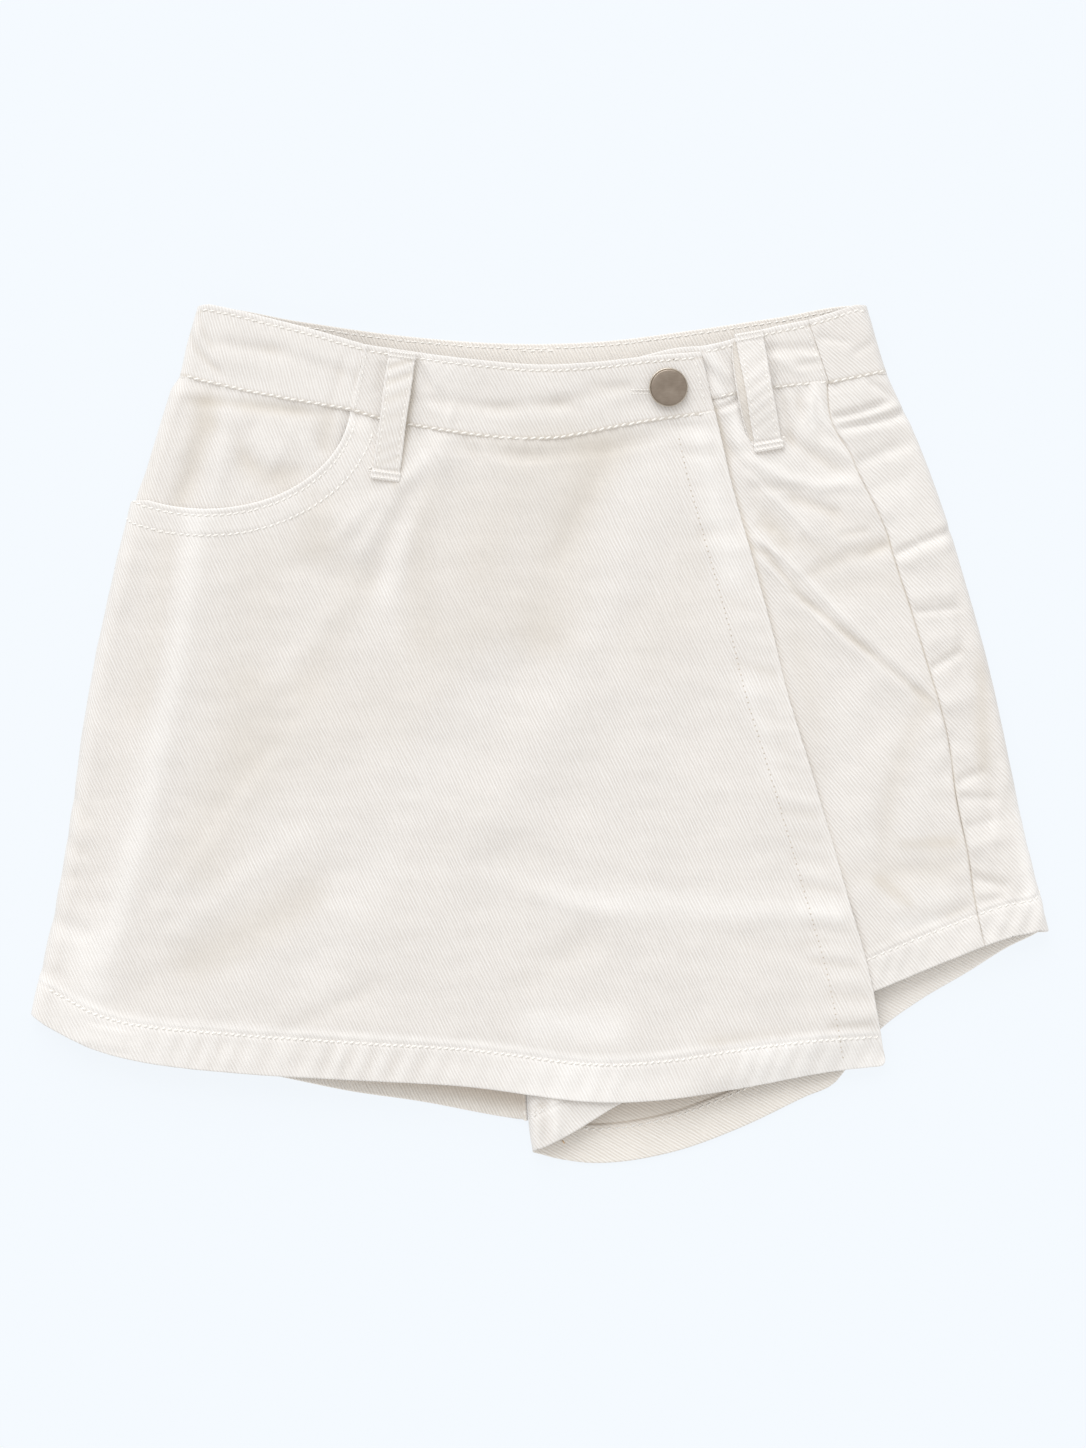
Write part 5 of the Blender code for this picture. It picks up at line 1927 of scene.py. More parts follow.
@dataclass
class FrontRight(ClothPiece):
    """Front of the right leg, hidden under the hip piece and the wrap panel."""

    node: str = "front_right"
    grain: float = 64.0
    leg: Leg = Leg.RIGHT
    rests_on: tuple[str, ...] = ("back_right_cloth",)

    def grid(self) -> tuple[Array, Array]:
        """Grid from the right side seam to the inseam."""
        x, y = patch(
            lambda x: RIGHT_FRONT_SEAM(x) - 5.0,
            lambda x: RIGHT_BACK_HEM(x) + CUFF_STEP,
            FORM.right_turn,
            FORM.inner_turn(self.leg),
            stations(180.0, 3.6, rims=Ends.NONE),
            stations(260.0, 3.6, (), (Fine(9.0, 9.0, 1.6),)),
        )
        x, y = on_to_inseam(x, y, self.leg)
        turn = FRONT_SEAM_TURN * (1.0 - stations(8.0, 1.3, rims=Ends.START)[:-1])
        arc_s, arc_y = FORM.round_right(y[:, :1], self.base, turn)
        return beside(arc_s, x), beside(arc_y, y)

    def out(self, s: Array, y: Array) -> Array:
        """A little unevenness, and lower towards the waistband."""
        below_band = RIGHT_FRONT_SEAM(s) - y
        return ripple(s, y, 28.0, 0.06, 61) - 1.6 * smooth(1.0 - below_band / 16.0)

    def thickness(self, s: Array, y: Array) -> Array:
        """Doubled at the hem."""
        off = distance_from(RIGHT_BACK_HEM, s, y) - CUFF_STEP
        return self.wall + 0.6 * smooth((13.0 - off) / 1.5)


@dataclass
class BackRight(ClothPiece):
    """Back of the right leg, on the ground, up round the fold to the right side seam."""

    node: str = "back_right"
    grain: float = 62.0
    inner_grain: float = 64.0
    leg: Leg = Leg.RIGHT
    turn_up: float = 15.0

    def grid(self) -> tuple[Array, Array]:
        """Grid from the inseam along the ground and up round the fold."""
        x, y = patch(
            lambda x: BACK_BAND_SEAM(x) - SEAM,
            RIGHT_BACK_HEM,
            FORM.right_turn,
            FORM.inner_turn(self.leg),
            stations(185.0, 2.6, rims=Ends.NONE),
            stations(280.0, 3.2, (), (Fine(12.0, 12.0, 1.0),)),
        )
        x, y = on_to_inseam(x, y, self.leg)
        turn = mix(math.pi, BACK_SEAM_TURN, stations(7.0, 1.3, rims=Ends.END)[1:])
        arc_s, arc_y = FORM.round_right(y[:, :1], self.base, turn)
        return beside(FORM.back_s(x, y, Leg.RIGHT)[:, ::-1], arc_s), beside(y[:, ::-1], arc_y)

    def thickness(self, s: Array, y: Array) -> Array:
        """Doubled at the hem, where the turned-up strip shows inside the leg."""
        plan_x = FORM.back_s(s, y, Leg.RIGHT)
        off = distance_from(RIGHT_BACK_HEM, plan_x, y)
        puckers = Roping(6.0, 0.24, 7.0, 0.6, 1.1).at(plan_x, off - 5.0)
        return self.wall + 0.75 * smooth((self.turn_up - off) / 0.9) + puckers * smooth((26.0 - off) / 6.0)

    def doubled(self, s: Array, y: Array) -> Array:
        """Painted shade inside, under the wrap."""
        plan_x = FORM.back_s(s, y, Leg.RIGHT)
        return -0.45 * smooth((distance_from(RIGHT_BACK_HEM, plan_x, y) - 1.0) / 8.0)


@dataclass
class Shorts:
    """The shorts under the wrap: two fronts and two backs, with their stitching."""

    back_right: BackRight = field(default_factory=BackRight)
    back_left: BackLeft = field(default_factory=BackLeft)
    front_right: FrontRight = field(default_factory=FrontRight)
    front_left: FrontLeft = field(default_factory=FrontLeft)

    def build(self) -> None:
        """Builds the panels and sews the hems."""
        for panel in (self.back_right, self.back_left, self.front_right, self.front_left):
            panel.build()
        self.sew()

    def inside(self, x: Array, y: Array) -> Array:
        """Points of the inner face of the left leg's back, seen from above.

        Args:
            x: the points' places across.
            y: their places up.

        Returns:
            The points.
        """
        s = FORM.back_s(x, y, Leg.LEFT)
        lift = self.back_left.thickness(s, y)
        return np.stack(np.broadcast_arrays(x, y, lift), axis=-1)

    def sew(self) -> bpy.types.Object:
        """Sews the left leg's hem, front and inside, and the short rows at the inseam's corner."""
        work = StitchWork("shorts_stitches", 22)
        hem = Stitching(pitch=3.1, length=2.5, radius=0.34)
        seam_x = float(SIDE_SEAM(np.array(-72.0)))
        for panel, start, end in ((self.front_left, 118.0, seam_x - 0.8), (self.back_left, seam_x + 0.8, 203.0)):
            work.row(panel.surface, along(start, end, lambda x: LEFT_FRONT_HEM.raised(x, LEG_HEM.depth)), hem)
        rise = self.back_left.turn_up - 1.9
        inside_hem = along(14.0, 104.0, lambda x: LEFT_BACK_HEM.raised(x, rise))
        work.row(self.inside, inside_hem, Stitching(pitch=3.1, length=2.5, radius=0.36, lie=0.22))
        corner_row = Stitching(pitch=2.2, length=1.7, radius=0.2)
        for shift in (0.0, 1.7):
            work.row(self.front_left.surface, straight((-4.0, -153.0), (3.0, -148.2), 12) - (0.0, shift), corner_row)
        stray = StitchWork("stray_thread", 27, RUST_THREAD)
        thread_end = Stitching(pitch=2.4, length=1.7, radius=0.26, lie=0.2, dip=0.2)
        stray.row(self.inside, straight((9.3, -163.0), (10.1, -165.6), 8), thread_end)
        stray.build()
        return work.build()


# --- Waistband ---

BAND_WALL = 1.9
TOP_ROW = 2.6
SEAM_ROW = 0.7
BAND_TOP_ZONES = (Fine(2.6, 1.8, 0.45),)
BAND_SEAM_ZONES = (Fine(1.3, 1.6, 0.45),)
BAND_RIGHT_CREASES = table(
    Crease, (-141, 161, -130, 146, -0.55, 1.8, 1.2), (-136.5, 170, -132, 156, -0.45, 1.4, 0.8),
    (-125, 155.5, -108, 152.5, -0.35, 2.4), (-104, 152.5, -80, 144.5, -0.35, 3), (-96, 150, -70, 146, 0.2, 4),
    (-82, 134, -78, 148, -0.25, 2),
)
BAND_WRAP_CREASES = table(
    Crease, (-48, 133, -16, 129.5, -0.5, 2.6), (-16, 129.5, 6, 131, -0.42, 2.8, -0.6), (6, 131, 30, 137, -0.42, 3),
    (-36.5, 121, -34.5, 130, 0.35, 1.5), (-48, 146.5, -44.5, 139, -0.4, 1.5), (-43.5, 147, -40.5, 139, 0.45, 1.8),
    (-46, 133, -38, 126, 0.35, 3), (8, 131.5, 16, 128.5, -0.35, 2.6), (-20, 127, -18, 121, 0.25, 1.8),
    (-62.5, 145, -63.5, 137, -0.45, 2.2), (34, 130, 44, 132, -0.2, 3), (22, 138.5, 34, 138, -0.35, 2.6),
)
# painted shadow beside the right belt loop
BAND_WRAP_PAINTED_SHADOW = table(Crease, (-50, 142, -52.8, 123, -0.8, 1.3))
BAND_UNDER_CREASES = table(
    Crease, (93, 153, 109, 153.5, -0.6, 2.4), (92.5, 152, 94, 142, -0.5, 1.8), (95, 149.5, 104, 144.5, 0.4, 2),
    (104, 146.5, 111, 148, -0.4, 1.6), (105, 151, 111, 149.5, 0.25, 1.6), (66.5, 150, 75, 143.5, 0.4, 2.2),
    (66, 146, 74, 138, -0.45, 2), (71, 153, 78, 146.5, -0.4, 2),
)
BAND_LEFT_CREASES = table(Crease, (114, 157.5, 122, 156, -0.4, 1.8), (127, 152, 133, 155.5, -0.35, 1.8))


def band_relief(s: Array, below_top: Array, above_seam: Array, seed: int) -> Array:
    """Relief common to the waistband's pieces.

    Args:
        s: places along the band.
        below_top: distance below its top edge.
        above_seam: distance above its lower edge.
        seed: which unevenness.

    Returns:
        The height: a rolled top edge, grooves at the stitches, and a band that sags between them.
    """
    grooves = -0.20 * bell(below_top - TOP_ROW, 0.8) - 0.20 * bell(above_seam - SEAM_ROW, 0.8)
    roll = 0.10 * bell(below_top - 1.4, 1.2)
    puckers = Roping(5.2, 0.16, 4.0, 0.4, seed * 0.7).at(s, above_seam - 1.0)
    puckers += Roping(5.8, 0.12, 4.0, 0.5, seed * 0.4).at(s, below_top - 2.0)
    uneven = ripple(s, below_top, 16.0, 0.14, seed, 2.2)
    return grooves + roll + puckers + uneven


def band_painted_light(below_top: Array, above_seam: Array) -> Array:
    """Painted light common to the waistband's pieces: a painted highlight on the rolled edge, and painted shade in
    the stitches' grooves.
    """
    painted_rolled_highlight = 0.35 * bell(below_top - 0.9, 1.3)
    return painted_rolled_highlight + 0.04 - 0.45 * bell(below_top - TOP_ROW, 0.7) - 0.65 * bell(above_seam - SEAM_ROW, 0.8)


@dataclass
class BandWrap(ClothPiece):
    """Waistband on the wrap panel, with the buttonhole."""

    node: str = "band_wrap"
    grain: float = 63.0
    sewn: Ends = Ends.START
    wall: float = BAND_WALL
    end_drop: float = 0.7
    end_fade: float = 7.0
    rests_on: tuple[str, ...] = ("band_under_cloth",)

    def grid(self) -> tuple[Array, Array]:
        """Grid from the right join to the band's end."""
        return patch(
            WRAP_BAND_TOP,
            WRAP_BAND_SEAM,
            JOIN_RIGHT,
            WRAP_BAND_END,
            stations(138.0, 1.15),
            stations(26.5, 0.9, BAND_TOP_ZONES, BAND_SEAM_ZONES),
        )

    def out(self, s: Array, y: Array) -> Array:
        """Lift, creases, grooves and the buttonhole."""
        below_top = WRAP_BAND_TOP(s) - y
        above_seam = y - WRAP_BAND_SEAM(s)
        relief = band_relief(s, below_top, above_seam, 3) + DEPTH * creases(BAND_WRAP_CREASES, s, y)
        hole = bell(y - HOLE_Y, 0.5) * smooth((s - 37.5) / 1.0) * smooth((52.0 - s) / 1.0)
        relief = relief - 0.3 * hole + 0.10 * bell(np.abs(y - HOLE_Y) - 1.2, 0.8) * smooth((s - 36.0) / 1.5)
        end = WRAP_BAND_END(y) - s
        join = 0.30 * bell(s - JOIN_RIGHT(y) - 0.6, 0.6)
        lift = BAND_WRAP_LIFT - self.end_drop * smooth(1.0 - end / self.end_fade)
        return lift + relief + join - 0.15 * bell(end - 3.2, 0.8)

    def thickness(self, s: Array, y: Array) -> Array:
        """Pressed thinner at the end."""
        return self.wall - self.end_drop * smooth(1.0 - (WRAP_BAND_END(y) - s) / self.end_fade)

    def doubled(self, s: Array, y: Array) -> Array:
        """Painted light: highlights on the rolled edges and the join, painted light and shade on the creases, a
        painted pale patch beside the right loop and painted shadow beside the loop; it is also darker just above the
        seam in the middle.
        """
        tone = band_painted_light(WRAP_BAND_TOP(s) - y, y - WRAP_BAND_SEAM(s))
        tone = tone + 0.45 * bell(s - JOIN_RIGHT(y) - 0.6, 0.6) + 0.25 * creases(BAND_WRAP_CREASES, s, y)
        tone += 0.35 * bell(np.hypot(s + 38.0, 1.6 * (y - 144.0)), 11.0)
        tone -= 0.26 * bell(np.hypot(s - 6.0, 4.0 * (y - WRAP_BAND_SEAM(s) - 3.0)), 20.0)
        return tone + creases(BAND_WRAP_PAINTED_SHADOW, s, y)


@dataclass
class BandUnder(ClothPiece):
    """Waistband under the wrap, from join to join."""

    node: str = "band_under"
    grain: float = 60.0
    sewn: Ends = Ends.END
    wall: float = BAND_WALL - 0.1
    rests_on: tuple[str, ...] = ("band_back_cloth",)

    def grid(self) -> tuple[Array, Array]:
        """Grid from join to join."""
        return patch(
            UNDER_BAND_TOP,
            UNDER_BAND_SEAM,
            lambda y: JOIN_RIGHT(y) + 0.5 * GAP,
            JOIN_LEFT,
            stations(182.0, 1.4),
            stations(27.0, 0.95, BAND_TOP_ZONES, BAND_SEAM_ZONES),
        )

    def out(self, s: Array, y: Array) -> Array:
        """Creases and grooves where it shows, and lower where the wrap's band covers it."""
        shows = smooth((s - WRAP_BAND_END(y)) / 3.0 + 0.8)
        below_top = UNDER_BAND_TOP(s) - y
        above_seam = y - UNDER_BAND_SEAM(s)
        relief = band_relief(s, below_top, above_seam, 4) + DEPTH * creases(BAND_UNDER_CREASES, s, y)
        return mix(-0.25, relief - 0.35 * bell(JOIN_LEFT(y) - s, 0.5), shows)

    def doubled(self, s: Array, y: Array) -> Array:
        """Painted light: the rolled top edge's highlight, painted shade at the stitches and the join, painted light
        and shade on the creases, and painted light beside the wrap band's end, where its shade falls.
        """
        tone = band_painted_light(UNDER_BAND_TOP(s) - y, y - UNDER_BAND_SEAM(s))
        tone = tone + 0.25 * creases(BAND_UNDER_CREASES, s, y) + 0.08
        tone += 0.50 * bell(s - WRAP_BAND_END(y) - 4.0, 2.6)
        return tone + 0.7 * seam_painted_shade(JOIN_LEFT(y) - s)


@dataclass
class BandBack(ClothPiece):
    """Waistband round the back and both sides, up to the joins on the front."""

    node: str = "band_back"
    grain: float = 74.0
    left_grain: float = 41.0
    inner_grain: float = 62.0
    wall: float = BAND_WALL - 0.1
    sewn: Ends = Ends.BOTH
    inside_finish: bpy.types.Material = TWILL_BAND_INSIDE_PAINTED_SHADE
    inside_row: float = 2.0
    # unrolled places beside the middle of the back, and where the left fold starts
    mid_back: float = -300.0
    left_fold: float = -430.0

    def grid(self) -> tuple[Array, Array]:
        """Grid from the left join, round the left fold, the back and the right fold, to the right join."""
        rows = stations(28.5, 0.95, BAND_TOP_ZONES, BAND_SEAM_ZONES)
        over_right = patch(
            BAND_TOP_RIGHT,
            BAND_SEAM_RIGHT,
            FORM.right_turn,
            JOIN_RIGHT,
            stations(72.0, 1.2, (), (Fine(2.0, 2.0, 0.5),), Ends.END),
            rows,
        )
        over_left = patch(
            BAND_TOP_LEFT,
            BAND_SEAM_LEFT,
            JOIN_LEFT,
            FORM.left_turn,
            stations(27.0, 1.2, (Fine(2.0, 2.0, 0.5),), rims=Ends.START),
            rows,
        )
        back = patch(BACK_BAND_TOP, BACK_BAND_SEAM, FORM.right_turn, FORM.left_turn, np.linspace(0.0, 1.0, 90), rows)
        share = np.linspace(0.0, 1.0, 13)[None, 1:-1]
        right_y = mix(back[1][:, :1], over_right[1][:, :1], share)
        right_s = FORM.right_turn(right_y) - math.pi * FORM.radius(right_y) * (1.0 - share)
        back_s = FORM.back_s(back[0], back[1], Leg.RIGHT)
        left_y = mix(over_left[1][:, -1:], back[1][:, -1:], share)
        whole = FORM.left_turn(left_y) - FORM.right_turn(left_y) + math.pi * FORM.radius(left_y)
        left_s = FORM.right_turn(left_y) - whole - math.pi * FORM.radius(left_y) * (1.0 - share)
        front_y = over_left[1]
        front_s = self.left_s(over_left[0], front_y)
        s = beside(front_s, left_s, back_s[:, ::-1], right_s, over_right[0])
        y = beside(front_y, left_y, back[1][:, ::-1], right_y, over_right[1])
        return s, y

    def weave(self, s: Array, y: Array) -> Array:
        """Weave map: the band's two ends are cut at different slants, which change over on the ground."""
        left = weave_map(self.left_x(s, y), y, self.left_grain)
        return np.where((s < self.mid_back)[..., None], left, weave_map(s, y, self.grain))

    @staticmethod
    def far_turn(y: Array) -> Array:
        """Unrolled place, the long way round, where the left fold ends on the front."""
        whole = FORM.left_turn(y) - FORM.right_turn(y) + 2.0 * math.pi * FORM.radius(y)
        return FORM.right_turn(y) - whole

    def left_x(self, s: Array, y: Array) -> Array:
        """X of the points on the front's left part, which the band reaches the long way round."""
        return FORM.left_turn(y) - (self.far_turn(y) - s)

    def left_s(self, x: Array, y: Array) -> Array:
        """Unrolled places of the points on the front's left part."""
        return self.far_turn(y) - (FORM.left_turn(y) - x)

    def out(self, s: Array, y: Array) -> Array:
        """Creases and grooves on the front, none on the ground."""
        right = FORM.right_turn(y)
        on_right = smooth((s - right + 8.0) / 5.0)
        below_top = np.where(s > right, BAND_TOP_RIGHT(s), BAND_TOP_RIGHT(right)) - y
        above_seam = y - np.where(s > right, BAND_SEAM_RIGHT(s), BAND_SEAM_RIGHT(right))
        relief = band_relief(s, below_top, above_seam, 5) + DEPTH * creases(BAND_RIGHT_CREASES, s, y)
        relief -= 0.20 * bell(JOIN_RIGHT(y) - s - 0.9, 0.8)
        lift = np.where(s > right, band_lift(s, y), 0.0)
        x = self.left_x(s, y)
        on_left = smooth((FORM.left_turn(y) + 8.0 - x) / 5.0) * (s < self.mid_back)
        left_relief = band_relief(x, BAND_TOP_LEFT(x) - y, y - BAND_SEAM_LEFT(x), 6)
        left_relief += DEPTH * creases(BAND_LEFT_CREASES, x, y)
        left_relief += 0.20 * bell(x - JOIN_LEFT(y) - 1.3, 0.9)
        return np.where(s > self.mid_back, lift + relief * on_right, left_relief * on_left)

    def thickness(self, s: Array, y: Array) -> Array:
        """The band's inside has a groove at its top stitches."""
        plan_x = FORM.back_s(s, y, Leg.RIGHT)
        below_top = BACK_BAND_TOP(np.clip(plan_x, -137.0, 131.0)) - y
        on_back = smooth((FORM.right_turn(y) - 13.0 - s) / 4.0) * (s > self.left_fold)
        groove = -0.08 * bell(below_top - self.inside_row, 0.8) + ripple(plan_x, y, 14.0, 0.05, 71, 2.0)
        return self.wall + groove * on_back

    def doubled(self, s: Array, y: Array) -> Array:
        """Painted light: the rolled top edge's highlight at the front, painted light and shade on the right front's
        creases, painted shade beside the right join, and inside the back painted shade towards the wearer's right and
        painted light towards the left.
        """
        plan_x = FORM.back_s(s, y, Leg.RIGHT)
        inside = mix(-0.30, 0.15, smooth((plan_x + 100.0) / 100.0))
        x = self.left_x(s, y)
        left = band_painted_light(BAND_TOP_LEFT(x) - y, y - BAND_SEAM_LEFT(x))
        right = band_painted_light(BAND_TOP_RIGHT(s) - y, y - BAND_SEAM_RIGHT(s))
        right = right + 0.70 * creases(BAND_RIGHT_CREASES, s, y) + 0.14
        right -= 0.35 * bell(JOIN_RIGHT(y) - s - 0.8, 0.9) * bell(y - 143.0, 7.0)
        front = np.where(s < self.left_fold, left, right)
        return np.where((s > self.left_fold) & (s < FORM.right_turn(y) - 12.0), inside, front)

    def inside(self, x: Array, y: Array) -> Array:
        """Points of the inner face at the back, seen from above."""
        lift = self.thickness(FORM.back_s(x, y, Leg.RIGHT), y)
        return np.stack(np.broadcast_arrays(x, y, lift), axis=-1)

    def left_front(self, x: Array, y: Array) -> Array:
        """Points of the front's left part, from their x."""
        return self.surface(self.left_s(x, y), y)


@dataclass
class Waistband:
    """The waistband's three pieces and their stitching."""

    back: BandBack = field(default_factory=BandBack)
    under: BandUnder = field(default_factory=BandUnder)
    wrap: BandWrap = field(default_factory=BandWrap)

    def build(self) -> None:
        """Builds the pieces and sews them."""
        for piece in (self.back, self.under, self.wrap):
            piece.build()
        self.sew()

    def sew(self) -> bpy.types.Object:
        """Sews the rows along the edges, at the joins and round the buttonhole."""
        work = StitchWork("waistband_stitches", 23)
        back, under, wrap = self.back, self.under, self.wrap
        first = float(FORM.right_turn(np.array(170.0))) - 3.0
        bold = Stitching(pitch=3.05, length=2.4, radius=0.42, lie=0.14, slant=0.26)
        flat = Stitching(pitch=3.0, length=2.5, radius=0.27, lie=0.08, dip=0.25, slant=0.1)
        fine = Stitching(pitch=2.5, length=2.0, radius=0.20)
        rows = (
            (back.surface, first, -70.4, BAND_TOP_RIGHT, -TOP_ROW, TOPSTITCH),
            (back.surface, first - 6.0, -75.0, BAND_SEAM_RIGHT, SEAM_ROW, bold),
            (back.left_front, 108.8, 131.0, BAND_TOP_LEFT, -TOP_ROW, TOPSTITCH),
            (back.left_front, 117.0, 139.0, BAND_SEAM_LEFT, SEAM_ROW, TOPSTITCH),
            (back.inside, -118.0, 4.0, BACK_BAND_TOP, -2.0, flat),
            (back.inside, -8.0, 6.0, BACK_BAND_TOP, -3.0, flat),
            (back.inside, 6.0, 118.0, BACK_BAND_TOP, -1.8, flat),
            (under.surface, 66.5, 106.4, UNDER_BAND_TOP, -TOP_ROW, TOPSTITCH),
            (under.surface, 72.5, 114.8, UNDER_BAND_SEAM, SEAM_ROW, TOPSTITCH),
            (wrap.surface, -68.0, 62.0, WRAP_BAND_TOP, -TOP_ROW, TOPSTITCH),
            (wrap.surface, -73.6, 69.0, WRAP_BAND_SEAM, SEAM_ROW, bold),
            (wrap.surface, 150.5, 129.0, JOIN_RIGHT, 1.5, fine),
            (wrap.surface, 148.5, 130.5, WRAP_BAND_END, -3.2, fine),
            (under.surface, 161.5, 141.5, JOIN_LEFT, -1.6, fine),
        )
        for surface, start, end, edge, shift, sewn in rows:
            work.row(surface, along(start, end, edge, shift), sewn)
        self.sew_buttonhole(work)
        # a dark dot of painted shade, in a needle hole on the wrap's band
        hole_shade = StitchWork("needle_hole_painted_shade_dot", 28, NEEDLE_HOLE_PAINTED_SHADE)
        short = Stitching(pitch=1.2, length=0.7, radius=0.24, lie=0.1, dip=0.1)
        hole_shade.row(wrap.surface, straight((53.3, 148.8), (54.6, 148.8), 3), short)
        hole_shade.build()
        return work.build()

    def sew_buttonhole(self, work: StitchWork) -> None:
        """Sews the close stitches along both sides of the slit and round its end.

        Args:
            work: the mesh that the stitches join.
        """
        close = Stitching(pitch=0.62, length=0.5, radius=0.28, lie=0.04, dip=0.1, slant=0.0)
        end_x, half = 37.4, 0.7
        for side in (-half, half):
            work.row(self.wrap.surface, straight((end_x, HOLE_Y + side), (45.0, HOLE_Y + side), 19), close)
        turn = np.linspace(0.5 * math.pi, 1.5 * math.pi, 12)
        end = np.stack([end_x + half * np.cos(turn), HOLE_Y + half * np.sin(turn)], axis=-1)
        work.row(self.wrap.surface, end, close)


# --- Belt loops ---


@dataclass
class BeltLoop:
    """Strap of folded twill, bar-tacked at the waistband's top and on the panel below it."""

    node: str
    head: tuple[float, float]
    foot: tuple[float, float]
    lift: float
    arch: float
    grain: float
    seed: int
    head_bar: float = 3.0
    foot_bar: float = 3.8
    underlay: float = 0.0
    width: float = 10.9
    wall: float = 1.7
    clearance: float = 1.6
    # painted light: lifts or lowers the whole strap's colour
    tone: float = -0.05

    @property
    def name(self) -> str:
        """The piece's name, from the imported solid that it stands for."""
        return self.node + "_cloth"

    def axes(self) -> tuple[Array, Array, float]:
        """Unit vectors along and across the strap, and its length."""
        run = np.array(self.foot) - np.array(self.head)
        length = float(np.hypot(*run))
        ahead = run / length
        return ahead, np.array([-ahead[1], ahead[0]]), length

    def half_width(self, a: Array) -> Array:
        """Half the strap's width at a distance from its head: a little wider at both bars.

        Args:
            a: distance along it from the head.

        Returns:
            The half-widths.
        """
        _, _, length = self.axes()
        flare = 0.35 * smooth((self.head_bar + 0.4 - a) / 0.7)
        flare = flare + 0.65 * smooth((a - length + self.foot_bar + 0.4) / 0.7)
        return 0.5 * self.width + flare + 0.12 * np.sin(a / 4.7 + self.seed)

    def surface(self, a: Array, b: Array) -> Array:
        """Points of the strap's outer face.

        Args:
            a: distance along it from the head.
            b: distance across it from its middle.

        Returns:
            The points.
        """
        a, b = np.broadcast_arrays(a, b)
        ahead, across, length = self.axes()
        x = self.head[0] + ahead[0] * a + across[0] * b
        y = self.head[1] + ahead[1] * a + across[1] * b
        share = np.clip(a / length, 0.0, 1.0)
        arch = self.arch * np.sin(math.pi * share) ** 2
        base = FORM.front_z(x, y) + self.lift + self.clearance
        half = self.half_width(a)
        from_foot = length - a
        middle = smooth((a - self.head_bar) / 1.5) * smooth((from_foot - self.foot_bar) / 1.5)
        pad = (-0.14 * bell(half - np.abs(b) - 1.6, 0.6) + 0.14 * bell(b, 2.8)) * middle
        folds = Roping(6.5, 0.22, 9.0, 0.5, self.seed * 0.9).at(a, b) * middle
        bars = 0.45 * smooth((self.foot_bar - from_foot) / 0.6) + 0.12 * smooth((self.head_bar - a) / 0.6)
        ditches = -0.35 * bell(from_foot - self.foot_bar - 0.5, 0.5) - 0.15 * bell(a - self.head_bar - 0.4, 0.5)
        rolls = -0.25 * bell(from_foot - 0.5 * self.foot_bar, 0.5) - 0.10 * bell(a - 0.55 * self.head_bar, 0.5)
        return np.stack([x, y, base + arch + pad + folds + bars + ditches + rolls], axis=-1)

    def build(self) -> None:
        """Builds the strap and its stitches."""
        _, _, length = self.axes()
        bars = (Fine(0.5 * self.head_bar, 2.8, 0.3),), (Fine(0.5 * self.foot_bar, 3.2, 0.3),)
        a = stations(length, 0.8, *bars)[:, None] * length
        share = 2.0 * stations(self.width, 0.6, (Fine(1.6, 1.2, 0.3),), (Fine(1.6, 1.2, 0.3),))[None, :] - 1.0
        b = share * self.half_width(a)
        outer = self.surface(a, b)
        wall = np.full(outer.shape[:2], self.wall)
        maps = (weave_map(outer[..., 0], outer[..., 1], self.grain),) * 2
        from_foot = length - a
        bar = np.maximum(smooth((self.head_bar - a) / 0.6), smooth((self.foot_bar - from_foot) / 0.6))
        # painted light: paler rolled edges and bars, painted shade beside the edge stitches, and the folds painted
        # lighter and darker
        doubled = self.tone + 0.25 * bell(self.half_width(a) - np.abs(b), 0.9) + 0.08 * bar
        doubled -= 0.10 * bell(self.half_width(a) - np.abs(b) - 1.6, 0.5) * (1.0 - bar)
        doubled += 1.2 * Roping(6.5, 0.22, 9.0, 0.5, self.seed * 0.9).at(a, b) * (1.0 - bar)
        piece = shell(self.name, outer, wall, maps, doubled, (0.7, 0.7, 1.0, 1.0))
        flat = (self.width * MM, length * MM)
        state_cloth(piece, (self.node,), flat, self.width * length * MM * MM)
        self.sew(length)
        if self.underlay:
            self.build_underlay(length)

    def build_underlay(self, length: float) -> None:
        """Builds the turning of the strap that shows at its side, where it stands off the shorts, with painted shade.

        Args:
            length: the strap's length.
        """
        a = mix(2.2, length - self.foot_bar + 0.6, stations(length - 5.0, 0.9, rims=Ends.NONE))[:, None]
        share = stations(5.0, 0.6)[None, :]
        swell = np.sin(math.pi * np.clip((a - 2.0) / (length - 6.0), 0.0, 1.0)) ** 0.35
        outside = 0.5 * self.width + 0.6 + (self.underlay - 0.6) * swell
        b = mix(-outside, -0.5 * self.width + 1.6, share)
        outer = self.surface(a, b)
        outer[..., 2] -= 1.5 - 0.35 * (share < 0.12)
        maps = (weave_map(outer[..., 0], outer[..., 1], self.grain),) * 2
        # painted shade, lighter at its outer edge
        painted_shade = -0.4 + 0.4 * (share < 0.1) + 0.0 * a
        piece = shell(self.name + "_turning", outer, np.full(outer.shape[:2], 0.8), maps, painted_shade)
        area = float((outer[0, -1] - outer[0, 0])[0] + 2.0) * length * MM * MM
        state_cloth(piece, (), (self.width * MM, length * MM), area)

